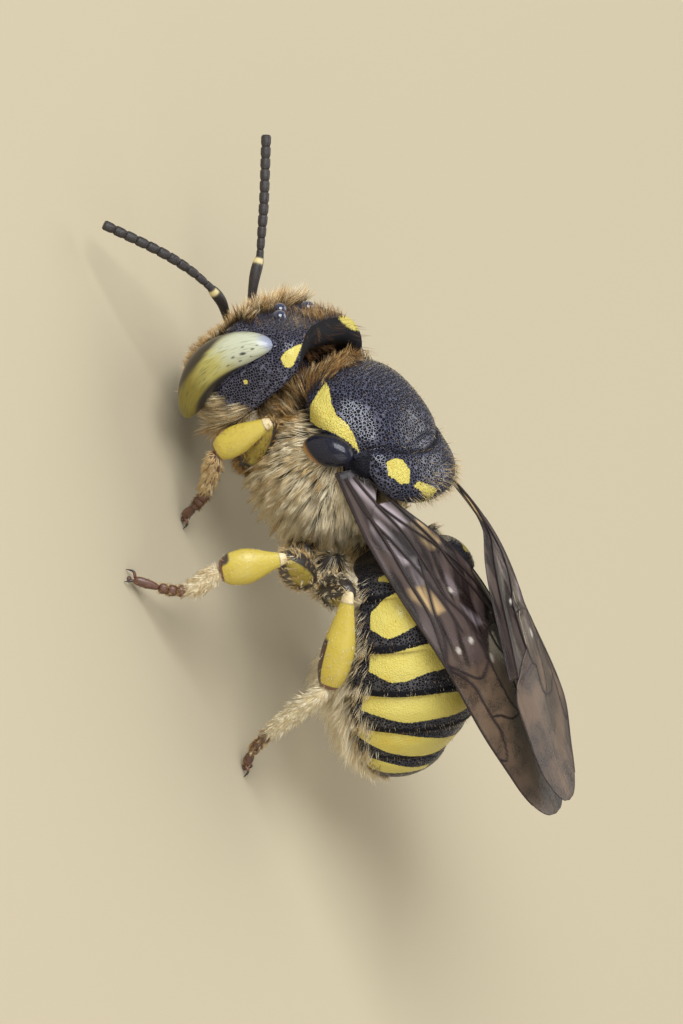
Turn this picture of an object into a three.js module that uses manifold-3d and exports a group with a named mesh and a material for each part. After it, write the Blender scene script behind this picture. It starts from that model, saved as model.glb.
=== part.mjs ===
// A wool-carder bee, female, at life size: a solid-bodied bee with yellow bands, standing on six feet.
// Millimetres, +Z up. The head points to -Y and the bee's left side is +X. The floor is z = 0.
import * as THREE from "three";
import { mergeVertices } from "three/addons/utils/BufferGeometryUtils.js";
import Module from "manifold-3d";

const wasm = await Module();
wasm.setup();

// ---- Driving dimensions, in millimetres and degrees ----

const CLEARANCE = 0.03; // left between neighbouring parts of the body wall
const THINNEST = 0.5; // wings, legs and feelers are never thinner than this

// The head hangs nose down in front of the thorax. Half sizes run from the middle of each frame.
// It is turned a little to the bee's right.
const HEAD = {
  at: [0, -6.25, 2.55], turn: 6, pitch: 23, halfWidth: 2.12, front: 1.0, back: 1.6, up: 2.06, down: 1.8,
};
// Behind a sharp rim the head is hollow. The rim lies `back` behind the head's middle at the temples,
// less by the other sizes at the crown, at the crown's middle and at the chin.
const RIM = { back: 1.28, crown: 0.55, middle: 0.45, chin: 0.8, hollow: 0.7 };
const EYE = { x: 1.9, y: -0.04, z: -0.16, halfLength: 1.6, halfBreadth: 0.53, halfDepth: 0.52, bow: 0.5 };
const OCELLUS = { radius: 0.15, sideways: 0.55, y: -0.38, middleY: -0.62 };
const JAW = { root: [1.25, -0.2, -1.3], bend: [0.85, -0.48, -1.66], tip: [0.17, -0.42, -1.9] };
const FEELER = { scape: 0.27, club: 0.25 };

// The thorax is a deep box with round corners, tipped forwards.
const THORAX = {
  at: [0, -3.6, 4.2], turn: 0, pitch: 24, halfWidth: 2.2, front: 1.98, back: 1.95, up: 1.98, down: 3.15,
};
const SCUTELLUM = { y: 1.4, z: 1.26, halfWidth: 1.8, halfLength: 0.98, halfHeight: 0.46 };
const TEGULA = { x: 1.98, y: -0.1, z: 0.45, halfLength: 0.5, halfWidth: 0.38, halfHeight: 0.52, slant: 0.5 };
const NECK_RADIUS = 0.62;
const WAIST_RADIUS = 0.42;

// The abdomen is six rings. Each row is the rear edge of a ring, seen in the bee's middle plane:
// where its centre lies, how far it leans back, and its half width, height and depth.
const ABDOMEN = [
  { y: -0.78, z: 4.45, lean: 5, width: 1.3, up: 1.45, down: 0.85 },
  { y: 0.0, z: 4.35, lean: 8, width: 2.0, up: 1.85, down: 1.2 },
  { y: 1.25, z: 4.1, lean: 13, width: 2.28, up: 2.05, down: 1.9 },
  { y: 2.3, z: 3.75, lean: 18, width: 2.2, up: 1.95, down: 2.4 },
  { y: 3.2, z: 3.35, lean: 21, width: 1.95, up: 1.72, down: 2.15 },
  { y: 3.95, z: 2.95, lean: 22, width: 1.5, up: 1.2, down: 1.65 },
];
const TAIL_LENGTH = 0.8;
const TAIL_DROP = 0.35;

// The joints of the left legs, from the hip to the tip of the foot, and the widest half breadths.
const LEGS = {
  fore: {
    hip: [0.75, -4.15, 2.1], trochanter: [1.15, -3.85, 1.7], knee: [2.0, -4.9, 3.3],
    ankle: [2.3, -4.52, 1.72], instep: [2.12, -3.52, 0.92], foot: [1.9, -3.06, -0.15],
    thigh: 0.38, shin: 0.38,
  },
  mid: {
    hip: [0.95, -1.75, 2.6], trochanter: [1.5, -0.75, 2.55], knee: [3.5, -1.75, 3.36],
    ankle: [4.4, -1.95, 1.95], instep: [4.8, -1.75, 1.0], foot: [5.46, -2.48, -0.15],
    thigh: 0.48, shin: 0.46,
  },
  hind: {
    hip: [0.95, -1.2, 3.3], trochanter: [1.25, -0.35, 2.85], knee: [2.75, -0.47, 4.34],
    ankle: [3.0, 1.72, 3.1], instep: [2.9, 2.6, 0.95], foot: [2.71, 3.26, -0.15],
    thigh: 0.44, shin: 0.44,
  },
};
// The right feet stand a little further along than the left ones, as on a bee that has just stopped.
const RIGHT_STRIDE = { fore: -0.35, mid: 0.45, hind: -0.3 };

// The wings lie back over the abdomen, the right one on top. Stations run along y: the front edge's x
// and z, the z where the wing crosses the middle plane, and the x of the rear edge of both wings.
const LEFT_WING = [
  { y: -3.3, x: 2.12, z: 4.62, ridge: 5.6, rear: 1.72 },
  { y: -1.5, x: 2.1, z: 4.86, ridge: 6.4, rear: 1.12 },
  { y: 0.0, x: 2.08, z: 5.25, ridge: 6.6, rear: 0.35 },
  { y: 2.0, x: 2.02, z: 5.86, ridge: 6.52, rear: -0.8 },
  { y: 4.0, x: 1.62, z: 6.12, ridge: 6.52, rear: -1.2 },
  { y: 5.4, x: 1.24, z: 6.36, ridge: 6.5, rear: -1.02 },
  { y: 6.58, x: 0.98, z: 6.56, ridge: 6.6, rear: -0.88 },
];
const RIGHT_WING = [
  { y: -3.3, x: 2.12, z: 4.62, ridge: 5.6, rear: 1.72 },
  { y: -1.5, x: 2.45, z: 5.4, ridge: 6.72, rear: 0.7 },
  { y: 0.0, x: 2.6, z: 5.85, ridge: 7.2, rear: -0.4 },
  { y: 2.0, x: 2.45, z: 6.25, ridge: 7.22, rear: -0.75 },
  { y: 4.0, x: 1.8, z: 6.84, ridge: 7.14, rear: -1.1 },
  { y: 5.3, x: 0.98, z: 7.02, ridge: 7.08, rear: -1.0 },
  { y: 6.3, x: 0.55, z: 7.12, ridge: 7.12, rear: -0.85 },
];
// A front wing's end is rounded off over its last stretch, down to a share of its breadth.
const WING_TIP = { round: 1.25, least: 0.18, power: 2.4 };
const ARCH = { left: 2.2, right: 1.4 }; // how strongly a wing bends over the back: 1 is flat
const HINDWING = { start: -2.9, end: 3.6, width: 0.95, taper: 1.6 };

// ---- Colours of the plain solids ----

const BLACK = { color: 0x17161a, roughness: 0.5, metalness: 0 };
const YELLOW = { color: 0xd8c23c, roughness: 0.55, metalness: 0 };
const FAWN = { color: 0xb08d5a, roughness: 0.9, metalness: 0 };
const EYE_GREEN = { color: 0xa9a55c, roughness: 0.25, metalness: 0 };
const WING_BROWN = { color: 0x4a3c38, roughness: 0.3, metalness: 0 };

// ---- Shaping ----

const lerp = THREE.MathUtils.lerp;
const radians = THREE.MathUtils.degToRad;

// Moves every vertex of a geometry to where `change` puts it.
function reshape(geometry, change) {
  const place = geometry.attributes.position;
  const point = new THREE.Vector3();
  for (let i = 0; i < place.count; i += 1) {
    point.fromBufferAttribute(place, i);
    change(point);
    place.setXYZ(i, point.x, point.y, point.z);
  }
  return geometry;
}

// The same surface with shared vertices and no normals or uv, as a boolean cut needs it.
function bare(geometry) {
  const copy = geometry.clone();
  copy.deleteAttribute("normal");
  copy.deleteAttribute("uv");
  return mergeVertices(copy, 1e-4);
}

function toSolid(geometry) {
  const closed = bare(geometry);
  const vertProperties = closed.attributes.position.array;
  const triVerts = new Uint32Array(closed.index.array);
  return new wasm.Manifold(new wasm.Mesh({ numProp: 3, vertProperties, triVerts }));
}

function fromSolid(solid) {
  const mesh = solid.getMesh();
  const geometry = new THREE.BufferGeometry();
  geometry.setAttribute("position", new THREE.BufferAttribute(mesh.vertProperties, 3));
  geometry.setIndex(new THREE.BufferAttribute(mesh.triVerts, 1));
  return geometry;
}

// A copy whose wall stands out by `by` all round.
function grown(geometry, by) {
  const copy = bare(geometry);
  copy.computeVertexNormals();
  const place = copy.attributes.position;
  const normal = copy.attributes.normal;
  for (let i = 0; i < place.count; i += 1) {
    place.setXYZ(
      i,
      place.getX(i) + by * normal.getX(i),
      place.getY(i) + by * normal.getY(i),
      place.getZ(i) + by * normal.getZ(i),
    );
  }
  copy.deleteAttribute("normal");
  return copy;
}

// Cuts room for the neighbours out of a part, with the clearance left round each.
function roomFor(geometry, neighbours) {
  let solid = toSolid(geometry);
  for (const neighbour of neighbours) {
    solid = solid.subtract(toSolid(grown(neighbour, CLEARANCE)));
  }
  return fromSolid(solid);
}

// Only the largest piece of a cut part is kept.
function largest(geometry) {
  const pieces = toSolid(geometry).decompose();
  pieces.sort((a, b) => b.volume() - a.volume());
  return fromSolid(pieces[0]);
}

// The mirror image through the bee's middle plane, faces still pointing out.
function mirrored(geometry) {
  const copy = bare(geometry);
  reshape(copy, (p) => p.setX(-p.x));
  const order = copy.index.array;
  for (let i = 0; i < order.length; i += 3) {
    [order[i + 1], order[i + 2]] = [order[i + 2], order[i + 1]];
  }
  return copy;
}

// Puts a shape that was made in the head's or the thorax's own frame where that frame stands.
function inFrame(geometry, frame) {
  geometry.rotateZ(-radians(frame.turn));
  geometry.rotateX(radians(frame.pitch));
  geometry.translate(...frame.at);
  return geometry;
}

// A ball squared off towards a box: `power` 2 is an ellipsoid. `half` gives each direction its size.
function boxyBall(half, power, around, down) {
  const ball = new THREE.SphereGeometry(1, around, down);
  ball.rotateX(Math.PI / 2);
  return reshape(ball, (p) => {
    const sum = Math.abs(p.x) ** power + Math.abs(p.y) ** power + Math.abs(p.z) ** power;
    p.multiplyScalar(sum ** (-1 / power));
    p.x *= half.x;
    p.y *= p.y < 0 ? half.front : half.back;
    p.z *= p.z > 0 ? half.up : half.down;
  });
}

// A round-ended limb along a smooth curve. `breadth` gives the half breadth at each share of the way,
// and `flat` the thickness as a share of it. The flat side faces sideways.
function limb(points, breadth, flat, around = 8, along = 5) {
  const curve = new THREE.CatmullRomCurve3(points.map((p) => new THREE.Vector3(...p)));
  const sideways = new THREE.Vector3(1, 0, 0);
  const least = THINNEST / 2;
  return reshape(new THREE.SphereGeometry(1, around, along), (p) => {
    const share = THREE.MathUtils.clamp((1 - p.y) / 2, 0, 1);
    const ring = Math.hypot(p.x, p.z);
    const blunt = ring > 1e-6 ? ring ** -0.62 : 0;
    const heading = curve.getTangent(share);
    const thin = sideways.clone().addScaledVector(heading, -sideways.dot(heading)).normalize();
    const broad = new THREE.Vector3().crossVectors(heading, thin);
    const half = breadth(share);
    const across = p.x * blunt * Math.max(half * flat, least);
    const wide = p.z * blunt * Math.max(half, least);
    p.copy(curve.getPoint(share)).addScaledVector(thin, across).addScaledVector(broad, wide);
  });
}

// ---- Head ----

// The head is widest at the eyes, narrows to the jaws, slopes down in front of its crown, and is
// hollowed behind for the neck.
function headShape() {
  const half = { x: HEAD.halfWidth, front: HEAD.front, back: HEAD.back, up: HEAD.up, down: HEAD.down };
  const shape = boxyBall(half, 4, 24, 15);
  return reshape(shape, (p) => {
    const x = Math.abs(p.x);
    const above = Math.max(p.z, 0) / HEAD.up;
    const below = Math.max(-p.z, 0) / HEAD.down;
    const low = THREE.MathUtils.smoothstep(-p.z, 0.1, HEAD.down);
    const high = THREE.MathUtils.smoothstep(p.z, 0.3, HEAD.up);
    const ahead = THREE.MathUtils.smoothstep(0.6 - p.y, 0, 1.3);
    const onTop = THREE.MathUtils.smoothstep(above, 0.7, 0.97);
    const middle = RIM.middle * (1 - (x / HEAD.halfWidth) ** 2) * onTop;
    const rim = RIM.back - RIM.crown * above ** 5 - middle - RIM.chin * below ** 1.8;
    const outward = (x / 1.95) ** 4 + (Math.abs(p.z - 0.05) / 1.9) ** 4;
    const bowl = RIM.hollow * THREE.MathUtils.smoothstep(1 - outward ** 0.25, 0, 0.4);
    p.x *= 1 - 0.22 * low;
    p.y = Math.min(p.y, rim - bowl);
    p.z -= 0.7 * high * ahead;
  });
}

// A compound eye: a long oval whose front margin bulges and whose rear margin is nearly straight.
function eyeShape() {
  const half = {
    x: EYE.halfDepth,
    front: EYE.halfBreadth,
    back: EYE.halfBreadth,
    up: EYE.halfLength,
    down: EYE.halfLength,
  };
  const shape = boxyBall(half, 2.2, 13, 11);
  return reshape(shape, (p) => {
    const reach = p.z / EYE.halfLength;
    p.y += EYE.bow * (reach ** 2 - 0.5);
    p.x -= 0.06 * reach ** 2;
    p.add(new THREE.Vector3(EYE.x, EYE.y, EYE.z));
  });
}

// The three simple eyes are low domes in a triangle on the crown.
function addOcelli(head) {
  const spots = [
    [OCELLUS.sideways, OCELLUS.y],
    [-OCELLUS.sideways, OCELLUS.y],
    [0, OCELLUS.middleY],
  ];
  let solid = toSolid(head);
  for (const [x, y] of spots) {
    const dome = new THREE.SphereGeometry(OCELLUS.radius, 7, 6);
    const crown = topOf(head, x, y);
    dome.translate(x, y, crown);
    solid = solid.add(toSolid(dome));
  }
  return fromSolid(solid);
}

// The height of a shape's upper surface above the point x, y.
function topOf(geometry, x, y) {
  const mesh = new THREE.Mesh(geometry, new THREE.MeshBasicMaterial({ side: THREE.DoubleSide }));
  const ray = new THREE.Raycaster(new THREE.Vector3(x, y, 10), new THREE.Vector3(0, 0, -1));
  return ray.intersectObject(mesh)[0].point.z;
}

// A jaw curves from the cheek to the middle of the mouth and tapers a little.
function jawShape() {
  return limb([JAW.root, JAW.bend, JAW.tip], (t) => lerp(0.42, 0.3, t), 0.62, 8, 6);
}

// ---- Feelers, neck and waist ----

const SCAPE_LEFT = [[0.5, -7.12, 2.15], [0.85, -7.88, 2.36], [1.2, -8.4, 2.37]];
const SCAPE_RIGHT = [[-0.5, -7.12, 2.2], [-0.74, -8.05, 2.56], [-1.0, -8.58, 2.79]];
const CLUB_LEFT = [[1.16, -8.34, 2.38], [1.55, -8.98, 2.15], [2.02, -9.68, 1.74], [2.6, -10.67, 0.87]];
const CLUB_RIGHT = [[-0.98, -8.52, 2.77], [-1.22, -9.12, 2.92], [-1.56, -9.86, 3.08], [-2.2, -11.25, 3.31]];

function feeler(points, radius) {
  return limb(points, () => radius, 1, 7, 8);
}

// ---- Thorax ----

// The back is domed, the flanks bulge with their coat, and the rear slopes to the waist.
function thoraxShape() {
  const half = { x: THORAX.halfWidth, front: THORAX.front, back: THORAX.back, up: THORAX.up, down: THORAX.down };
  const shape = boxyBall(half, 2.5, 22, 15);
  return reshape(shape, (p) => {
    const high = THREE.MathUtils.smoothstep(p.z, 0, THORAX.up);
    const low = THREE.MathUtils.smoothstep(-p.z, 0.6, THORAX.down);
    p.x *= 1 - 0.08 * high - 0.1 * low;
  });
}

// The scutellum is the shelf across the rear of the back, with its rim standing free.
function scutellumShape() {
  const half = {
    x: SCUTELLUM.halfWidth,
    front: SCUTELLUM.halfLength,
    back: SCUTELLUM.halfLength,
    up: SCUTELLUM.halfHeight,
    down: SCUTELLUM.halfHeight,
  };
  const shape = boxyBall(half, 2.7, 18, 10);
  return reshape(shape, (p) => {
    const side = (p.x / SCUTELLUM.halfWidth) ** 2;
    p.z += SCUTELLUM.z - 0.3 * side - 0.12 * p.y;
    p.y += SCUTELLUM.y - 0.35 * side;
  });
}

// A tegula is the small shield over a wing's root.
function tegulaShape() {
  const half = {
    x: TEGULA.halfWidth,
    front: TEGULA.halfLength,
    back: TEGULA.halfLength,
    up: TEGULA.halfHeight,
    down: TEGULA.halfHeight,
  };
  const shape = boxyBall(half, 2.2, 11, 8);
  return reshape(shape, (p) => {
    p.set(p.x + TEGULA.x, p.y + TEGULA.y + TEGULA.slant * p.z, p.z + TEGULA.z);
  });
}

// ---- Abdomen ----

// Where a point of an abdomen section lies: `across` and `height` are shares of its half sizes.
function onSection(section, across, height) {
  const lean = radians(section.lean);
  const rise = height * (height > 0 ? section.up : section.down);
  return [across * section.width, section.y + rise * Math.sin(lean), section.z + rise * Math.cos(lean)];
}

function sectionBetween(front, rear, share, ease) {
  return {
    y: lerp(front.y, rear.y, share),
    z: lerp(front.z, rear.z, share),
    lean: lerp(front.lean, rear.lean, share),
    width: lerp(front.width, rear.width, ease),
    up: lerp(front.up, rear.up, ease),
    down: lerp(front.down, rear.down, ease),
  };
}

// One ring between two of the abdomen's stations. The first swells quickly from the waist, and each
// of the others is a little narrower where it slips under the one before.
function ringShape(front, rear, isFirst) {
  const ring = new THREE.CylinderGeometry(1, 1, 1, 22, isFirst ? 4 : 2);
  return reshape(ring, (p) => {
    const share = lerp(0.01, 0.99, 0.5 - p.y);
    const ease = isFirst ? Math.sin((share * Math.PI) / 2) ** 0.7 : share;
    const tuck = isFirst ? 1 : 0.96 + 0.04 * Math.min(1, share * 2);
    p.set(...onSection(sectionBetween(front, rear, share, ease), p.x * tuck, -p.z * tuck));
  });
}

// The last ring is a blunt dome behind a flat face.
function tailShape(front) {
  const dome = new THREE.SphereGeometry(1, 22, 9);
  return reshape(dome, (p) => {
    const out = Math.max(0, -p.y);
    const drop = TAIL_DROP * out * out;
    const [x, y, z] = onSection(front, 0.96 * p.x, -0.96 * p.z);
    p.set(x, y + CLEARANCE + TAIL_LENGTH * out ** 1.3, z - drop);
  });
}

// ---- Wings ----

// Reads one value of a wing at y, smoothly between its stations.
function wingValue(stations, name, y) {
  const last = stations.length - 1;
  let i = 0;
  while (i < last - 1 && y > stations[i + 1].y) i += 1;
  const at = (k) => stations[THREE.MathUtils.clamp(k, 0, last)];
  const span = at(i + 1).y - at(i).y;
  const share = (y - at(i).y) / span;
  const slope = (k) => (at(k + 1)[name] - at(k - 1)[name]) / (at(k + 1).y - at(k - 1).y);
  const s2 = share * share;
  const s3 = s2 * share;
  return (
    (2 * s3 - 3 * s2 + 1) * at(i)[name] +
    (s3 - 2 * s2 + share) * span * slope(i) +
    (3 * s2 - 2 * s3) * at(i + 1)[name] +
    (s3 - s2) * span * slope(i + 1)
  );
}

// The middle surface of a wing at x, y, and the direction that its thickness stands in.
function wingSurface(stations, arch, x, y) {
  const edge = wingValue(stations, "x", y);
  const low = wingValue(stations, "z", y);
  const rise = wingValue(stations, "ridge", y) - low;
  const height = (at) => low + rise * (1 - Math.abs(at / edge) ** arch);
  const step = 0.02;
  const slope = (height(x + step) - height(x - step)) / (2 * step);
  const up = new THREE.Vector3(-slope, 0, 1).normalize();
  return { point: new THREE.Vector3(x, y, height(x)), up };
}

// A slab of a wing's shape, between two lines of x along it. Its rows stand closer towards its end.
function wingSlab(surface, startY, endY, frontX, rearX, along, across) {
  const slab = new THREE.BoxGeometry(1, 1, 1, along, across, 1);
  return reshape(slab, (p) => {
    const y = lerp(endY, startY, (0.5 - p.x) ** 1.5);
    const x = lerp(frontX(y), rearX(y), p.y + 0.5);
    const { point, up } = surface(x, y);
    p.copy(point.addScaledVector(up, p.z * THINNEST));
  });
}

// The front wing and the hind wing of one side, hooked edge to edge.
function wingPair(stations, arch) {
  const surface = (x, y) => wingSurface(stations, arch, x, y);
  const first = stations[0].y;
  const last = stations[stations.length - 1].y;
  const front = (y) => wingValue(stations, "x", y);
  const rear = (y) => wingValue(stations, "rear", y);
  const seam = (y) => {
    const start = THREE.MathUtils.smoothstep(y, HINDWING.start, HINDWING.start + HINDWING.taper);
    const end = THREE.MathUtils.smoothstep(y, HINDWING.end - HINDWING.taper, HINDWING.end);
    return rear(y) + HINDWING.width * start * (1 - end);
  };
  const rounded = (line) => (y) => {
    const into = THREE.MathUtils.clamp((y - last + WING_TIP.round) / WING_TIP.round, 0, 1);
    const share = Math.max(WING_TIP.least, (1 - into ** WING_TIP.power) ** (1 / WING_TIP.power));
    return lerp((front(y) + seam(y)) / 2, line(y), share);
  };
  const hindFront = (y) => seam(y) - 2 * CLEARANCE;
  const margin = HINDWING.taper * 0.4;
  return {
    fore: wingSlab(surface, first, last, rounded(front), rounded(seam), 12, 3),
    hind: wingSlab(surface, HINDWING.start + margin, HINDWING.end - margin, hindFront, rear, 8, 2),
  };
}

// ---- Legs ----

// Cuts a foot off level with the floor, which leaves it a flat sole.
function onFloor(geometry) {
  const below = new THREE.BoxGeometry(30, 30, 4);
  below.translate(0, 0, -2);
  return fromSolid(toSolid(geometry).subtract(toSolid(below)));
}

// The four pieces of a leg: hip, thigh, shin and foot. The foot ends in a small flat sole.
function legShapes(leg) {
  const coxa = limb([leg.hip, leg.trochanter], (t) => lerp(0.46, 0.34, t), 0.9);
  const swell = (t) => leg.thigh * (0.72 + 0.28 * Math.sin(Math.PI * t));
  const thigh = limb([leg.trochanter, leg.knee], swell, 0.85);
  const widen = (t) => lerp(0.26, leg.shin, THREE.MathUtils.smoothstep(t, 0, 0.7));
  const shin = limb([leg.knee, leg.ankle], widen, 0.66);
  const foot = limb([leg.ankle, leg.instep, leg.foot], (t) => lerp(0.3, 0.26, t), 1, 7, 8);
  const femur = roomFor(thigh, [coxa]);
  const tibia = roomFor(shin, [thigh]);
  const tarsus = onFloor(roomFor(foot, [shin]));
  return { coxa, femur, tibia, tarsus };
}

// The joints of the right leg of a pair: the left ones mirrored, its foot set down further along.
function rightJoints(leg, stride) {
  const share = { hip: 0, trochanter: 0, knee: 0.15, ankle: 0.5, instep: 0.85, foot: 1 };
  const joints = { ...leg };
  for (const name of Object.keys(share)) {
    const [x, y, z] = leg[name];
    joints[name] = [x, y + stride * share[name], z];
  }
  return joints;
}

// ---- Assembly ----

const bee = new THREE.Group();

function addPart(name, geometry, finish) {
  const mesh = new THREE.Mesh(geometry, new THREE.MeshStandardMaterial(finish));
  mesh.name = name;
  bee.add(mesh);
}

// Head, eyes, jaws and feelers.
const eyeLeft = inFrame(eyeShape(), HEAD);
const eyeRight = inFrame(mirrored(eyeShape()), HEAD);
const skull = inFrame(addOcelli(headShape()), HEAD);
const head = roomFor(skull, [eyeLeft, eyeRight]);
const jawLeft = largest(roomFor(inFrame(jawShape(), HEAD), [skull]));
const jawRight = largest(roomFor(inFrame(mirrored(jawShape()), HEAD), [skull]));
const scapes = { left: feeler(SCAPE_LEFT, FEELER.scape), right: feeler(SCAPE_RIGHT, FEELER.scape) };
const clubs = { left: feeler(CLUB_LEFT, FEELER.club), right: feeler(CLUB_RIGHT, FEELER.club) };
addPart("head", head, BLACK);
addPart("eye_left", eyeLeft, EYE_GREEN);
addPart("eye_right", eyeRight, EYE_GREEN);
addPart("jaw_left", jawLeft, BLACK);
addPart("jaw_right", jawRight, BLACK);
for (const side of ["left", "right"]) {
  addPart(`antenna_scape_${side}`, largest(roomFor(scapes[side], [skull])), BLACK);
  addPart(`antenna_club_${side}`, largest(roomFor(clubs[side], [scapes[side]])), BLACK);
}

// Legs.
const legs = [];
for (const [pair, joints] of Object.entries(LEGS)) {
  const right = legShapes(rightJoints(joints, RIGHT_STRIDE[pair]));
  const mirroredRight = {};
  for (const [piece, shape] of Object.entries(right)) mirroredRight[piece] = mirrored(shape);
  legs.push({ name: `${pair}_left`, pair, shapes: legShapes(joints) });
  legs.push({ name: `${pair}_right`, pair, shapes: mirroredRight });
}
for (const { name, shapes } of legs) {
  addPart(`coxa_${name}`, shapes.coxa, BLACK);
  addPart(`femur_${name}`, shapes.femur, BLACK);
  addPart(`tibia_${name}`, shapes.tibia, YELLOW);
  addPart(`tarsus_${name}`, shapes.tarsus, FAWN);
}

// Thorax, with room for the hips, the fore thighs, the wing shields and the head.
const tegulaLeft = inFrame(tegulaShape(), THORAX);
const tegulaRight = mirrored(tegulaLeft);
const hips = legs.map(({ shapes }) => shapes.coxa);
const foreThighs = legs.filter(({ pair }) => pair === "fore").map(({ shapes }) => shapes.femur);
const trunk = inFrame(thoraxShape(), THORAX);
const thorax = largest(roomFor(trunk, [...hips, ...foreThighs, tegulaLeft, tegulaRight, skull]));
const scutellum = largest(roomFor(inFrame(scutellumShape(), THORAX), [trunk]));
const neck = limb([[0, -5.9, 3.0], [0, -4.6, 3.5]], () => NECK_RADIUS, 1, 10, 5);
addPart("thorax", thorax, BLACK);
addPart("scutellum", scutellum, BLACK);
addPart("tegula_left", tegulaLeft, BLACK);
addPart("tegula_right", tegulaRight, BLACK);
addPart("neck", largest(roomFor(neck, [skull, trunk])), BLACK);

// Abdomen.
const rings = [];
for (let i = 1; i < ABDOMEN.length; i += 1) {
  rings.push(ringShape(ABDOMEN[i - 1], ABDOMEN[i], i === 1));
}
rings.push(tailShape(ABDOMEN[ABDOMEN.length - 1]));
rings.forEach((ring, i) => addPart(`abdomen_${i + 1}`, ring, i % 2 ? YELLOW : BLACK));
const waist = limb([[0, -2.3, 4.1], [0, -0.3, 4.5]], () => WAIST_RADIUS, 1, 10, 5);
addPart("waist", largest(roomFor(waist, [trunk, rings[0]])), BLACK);

// Wings.
const leftWings = wingPair(LEFT_WING, ARCH.left);
const rightWings = wingPair(RIGHT_WING, ARCH.right);
const around = [trunk, scutellum];
addPart("forewing_left", largest(roomFor(leftWings.fore, [...around, tegulaLeft])), WING_BROWN);
addPart("hindwing_left", largest(roomFor(leftWings.hind, [...around, leftWings.fore])), WING_BROWN);
const rightFore = mirrored(rightWings.fore);
addPart("forewing_right", largest(roomFor(rightFore, [...around, tegulaRight])), WING_BROWN);
addPart("hindwing_right", largest(roomFor(mirrored(rightWings.hind), [...around, rightFore])), WING_BROWN);

// The origin lies on the floor under the middle of the whole bee.
const middle = new THREE.Box3().setFromObject(bee).getCenter(new THREE.Vector3());
bee.position.set(-middle.x, -middle.y, 0);
bee.updateMatrixWorld(true);

export default bee;
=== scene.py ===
import math
import bpy
import numpy as np
from mathutils import Matrix, Vector


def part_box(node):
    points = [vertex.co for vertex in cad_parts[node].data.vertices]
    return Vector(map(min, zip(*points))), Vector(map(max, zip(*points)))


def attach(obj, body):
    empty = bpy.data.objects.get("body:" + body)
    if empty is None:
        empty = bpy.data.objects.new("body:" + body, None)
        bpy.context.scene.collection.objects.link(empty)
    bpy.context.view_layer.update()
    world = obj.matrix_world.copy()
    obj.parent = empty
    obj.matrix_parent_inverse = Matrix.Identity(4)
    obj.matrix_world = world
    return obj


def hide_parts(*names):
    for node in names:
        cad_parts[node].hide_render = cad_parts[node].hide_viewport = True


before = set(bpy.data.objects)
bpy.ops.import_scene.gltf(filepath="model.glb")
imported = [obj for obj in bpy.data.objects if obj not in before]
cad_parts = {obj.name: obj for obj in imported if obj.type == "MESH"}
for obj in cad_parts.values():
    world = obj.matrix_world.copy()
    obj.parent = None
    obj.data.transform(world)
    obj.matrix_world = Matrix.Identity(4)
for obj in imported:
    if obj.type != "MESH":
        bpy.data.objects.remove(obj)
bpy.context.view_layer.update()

# ---- Thorax ----
# The bee's middle box of black, coarsely pitted body wall, held to the head by the neck and to the
# abdomen by a narrow waist. Its flanks wear a thick fawn coat. Sizes are in mm, in the bee's own
# frame: the head points to -y and y is 0 near the waist.
MM = 0.001
LEFT_TIP = 6.58          # how far behind the bee's own zero the left front wing ends
REAR = float(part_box("forewing_left")[1].y) / MM - LEFT_TIP
SIDES = ((1, "left"), (-1, "right"))

THORAX = {"at": (0, -3.6, 4.2), "pitch": 24,
          "width": 2.2, "front": 1.98, "back": 1.95, "up": 1.98, "down": 2.95}
FLANK_COAT = 0.42        # the coat's depth on the flanks
BACK_COAT = 0.05
BACK_RADIUS = 2.1        # how round the back is from side to side
GROOVE_WIDTH = 0.08      # the groove between the back and the shelf behind it
GROOVE_DEPTH = 0.05      # as a share of the thorax's radius


def smooth(value, low, high):
    share = np.clip((value - low) / (high - low), 0, 1)
    return share * share * (3 - 2 * share)


def mix(first, second, share):
    return first + (second - first) * share


def unit(vectors):
    return vectors / np.maximum(np.linalg.norm(vectors, axis=-1, keepdims=True), 1e-9)


def directions(rows, columns, pole):
    """Unit directions in rings from one pole to the other. pole is 0, 1 or 2 for x, y or z."""
    down = np.linspace(0, np.pi, rows)[:, None]
    turn = np.linspace(0, 2 * np.pi, columns, endpoint=False)[None, :]
    out = np.zeros((rows, columns, 3))
    out[..., pole] = np.cos(down)
    out[..., (pole + 1) % 3] = np.sin(down) * np.cos(turn)
    out[..., (pole + 2) % 3] = np.sin(down) * np.sin(turn)
    return out


def boxy_ball(way, size, power):
    """A ball squared off towards a box, as far in each direction as `size` says."""
    swell = (np.abs(way) ** power).sum(axis=-1, keepdims=True) ** (-1 / power)
    p = way * swell
    p[..., 0] *= size["width"]
    p[..., 1] *= np.where(p[..., 1] < 0, size["front"], size["back"])
    p[..., 2] *= np.where(p[..., 2] > 0, size["up"], size["down"])
    return p


def in_frame(p, part):
    """Turns a shape to its right, tips it by its part's pitch and moves it to where the part stands."""
    turn, pitch = math.radians(part.get("turn", 0)), math.radians(part["pitch"])
    x = p[..., 0] * math.cos(turn) + p[..., 1] * math.sin(turn)
    ahead = p[..., 1] * math.cos(turn) - p[..., 0] * math.sin(turn)
    y = ahead * math.cos(pitch) - p[..., 2] * math.sin(pitch)
    z = ahead * math.sin(pitch) + p[..., 2] * math.cos(pitch)
    return np.stack([x, y, z], axis=-1) + np.array(part["at"])


def rows_to_points(grid):
    """A grid of rings as one list, with each end ring drawn together to a single point."""
    return np.concatenate([grid[:1, 0], grid[1:-1].reshape((-1,) + grid.shape[2:]), grid[-1:, 0]])


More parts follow.
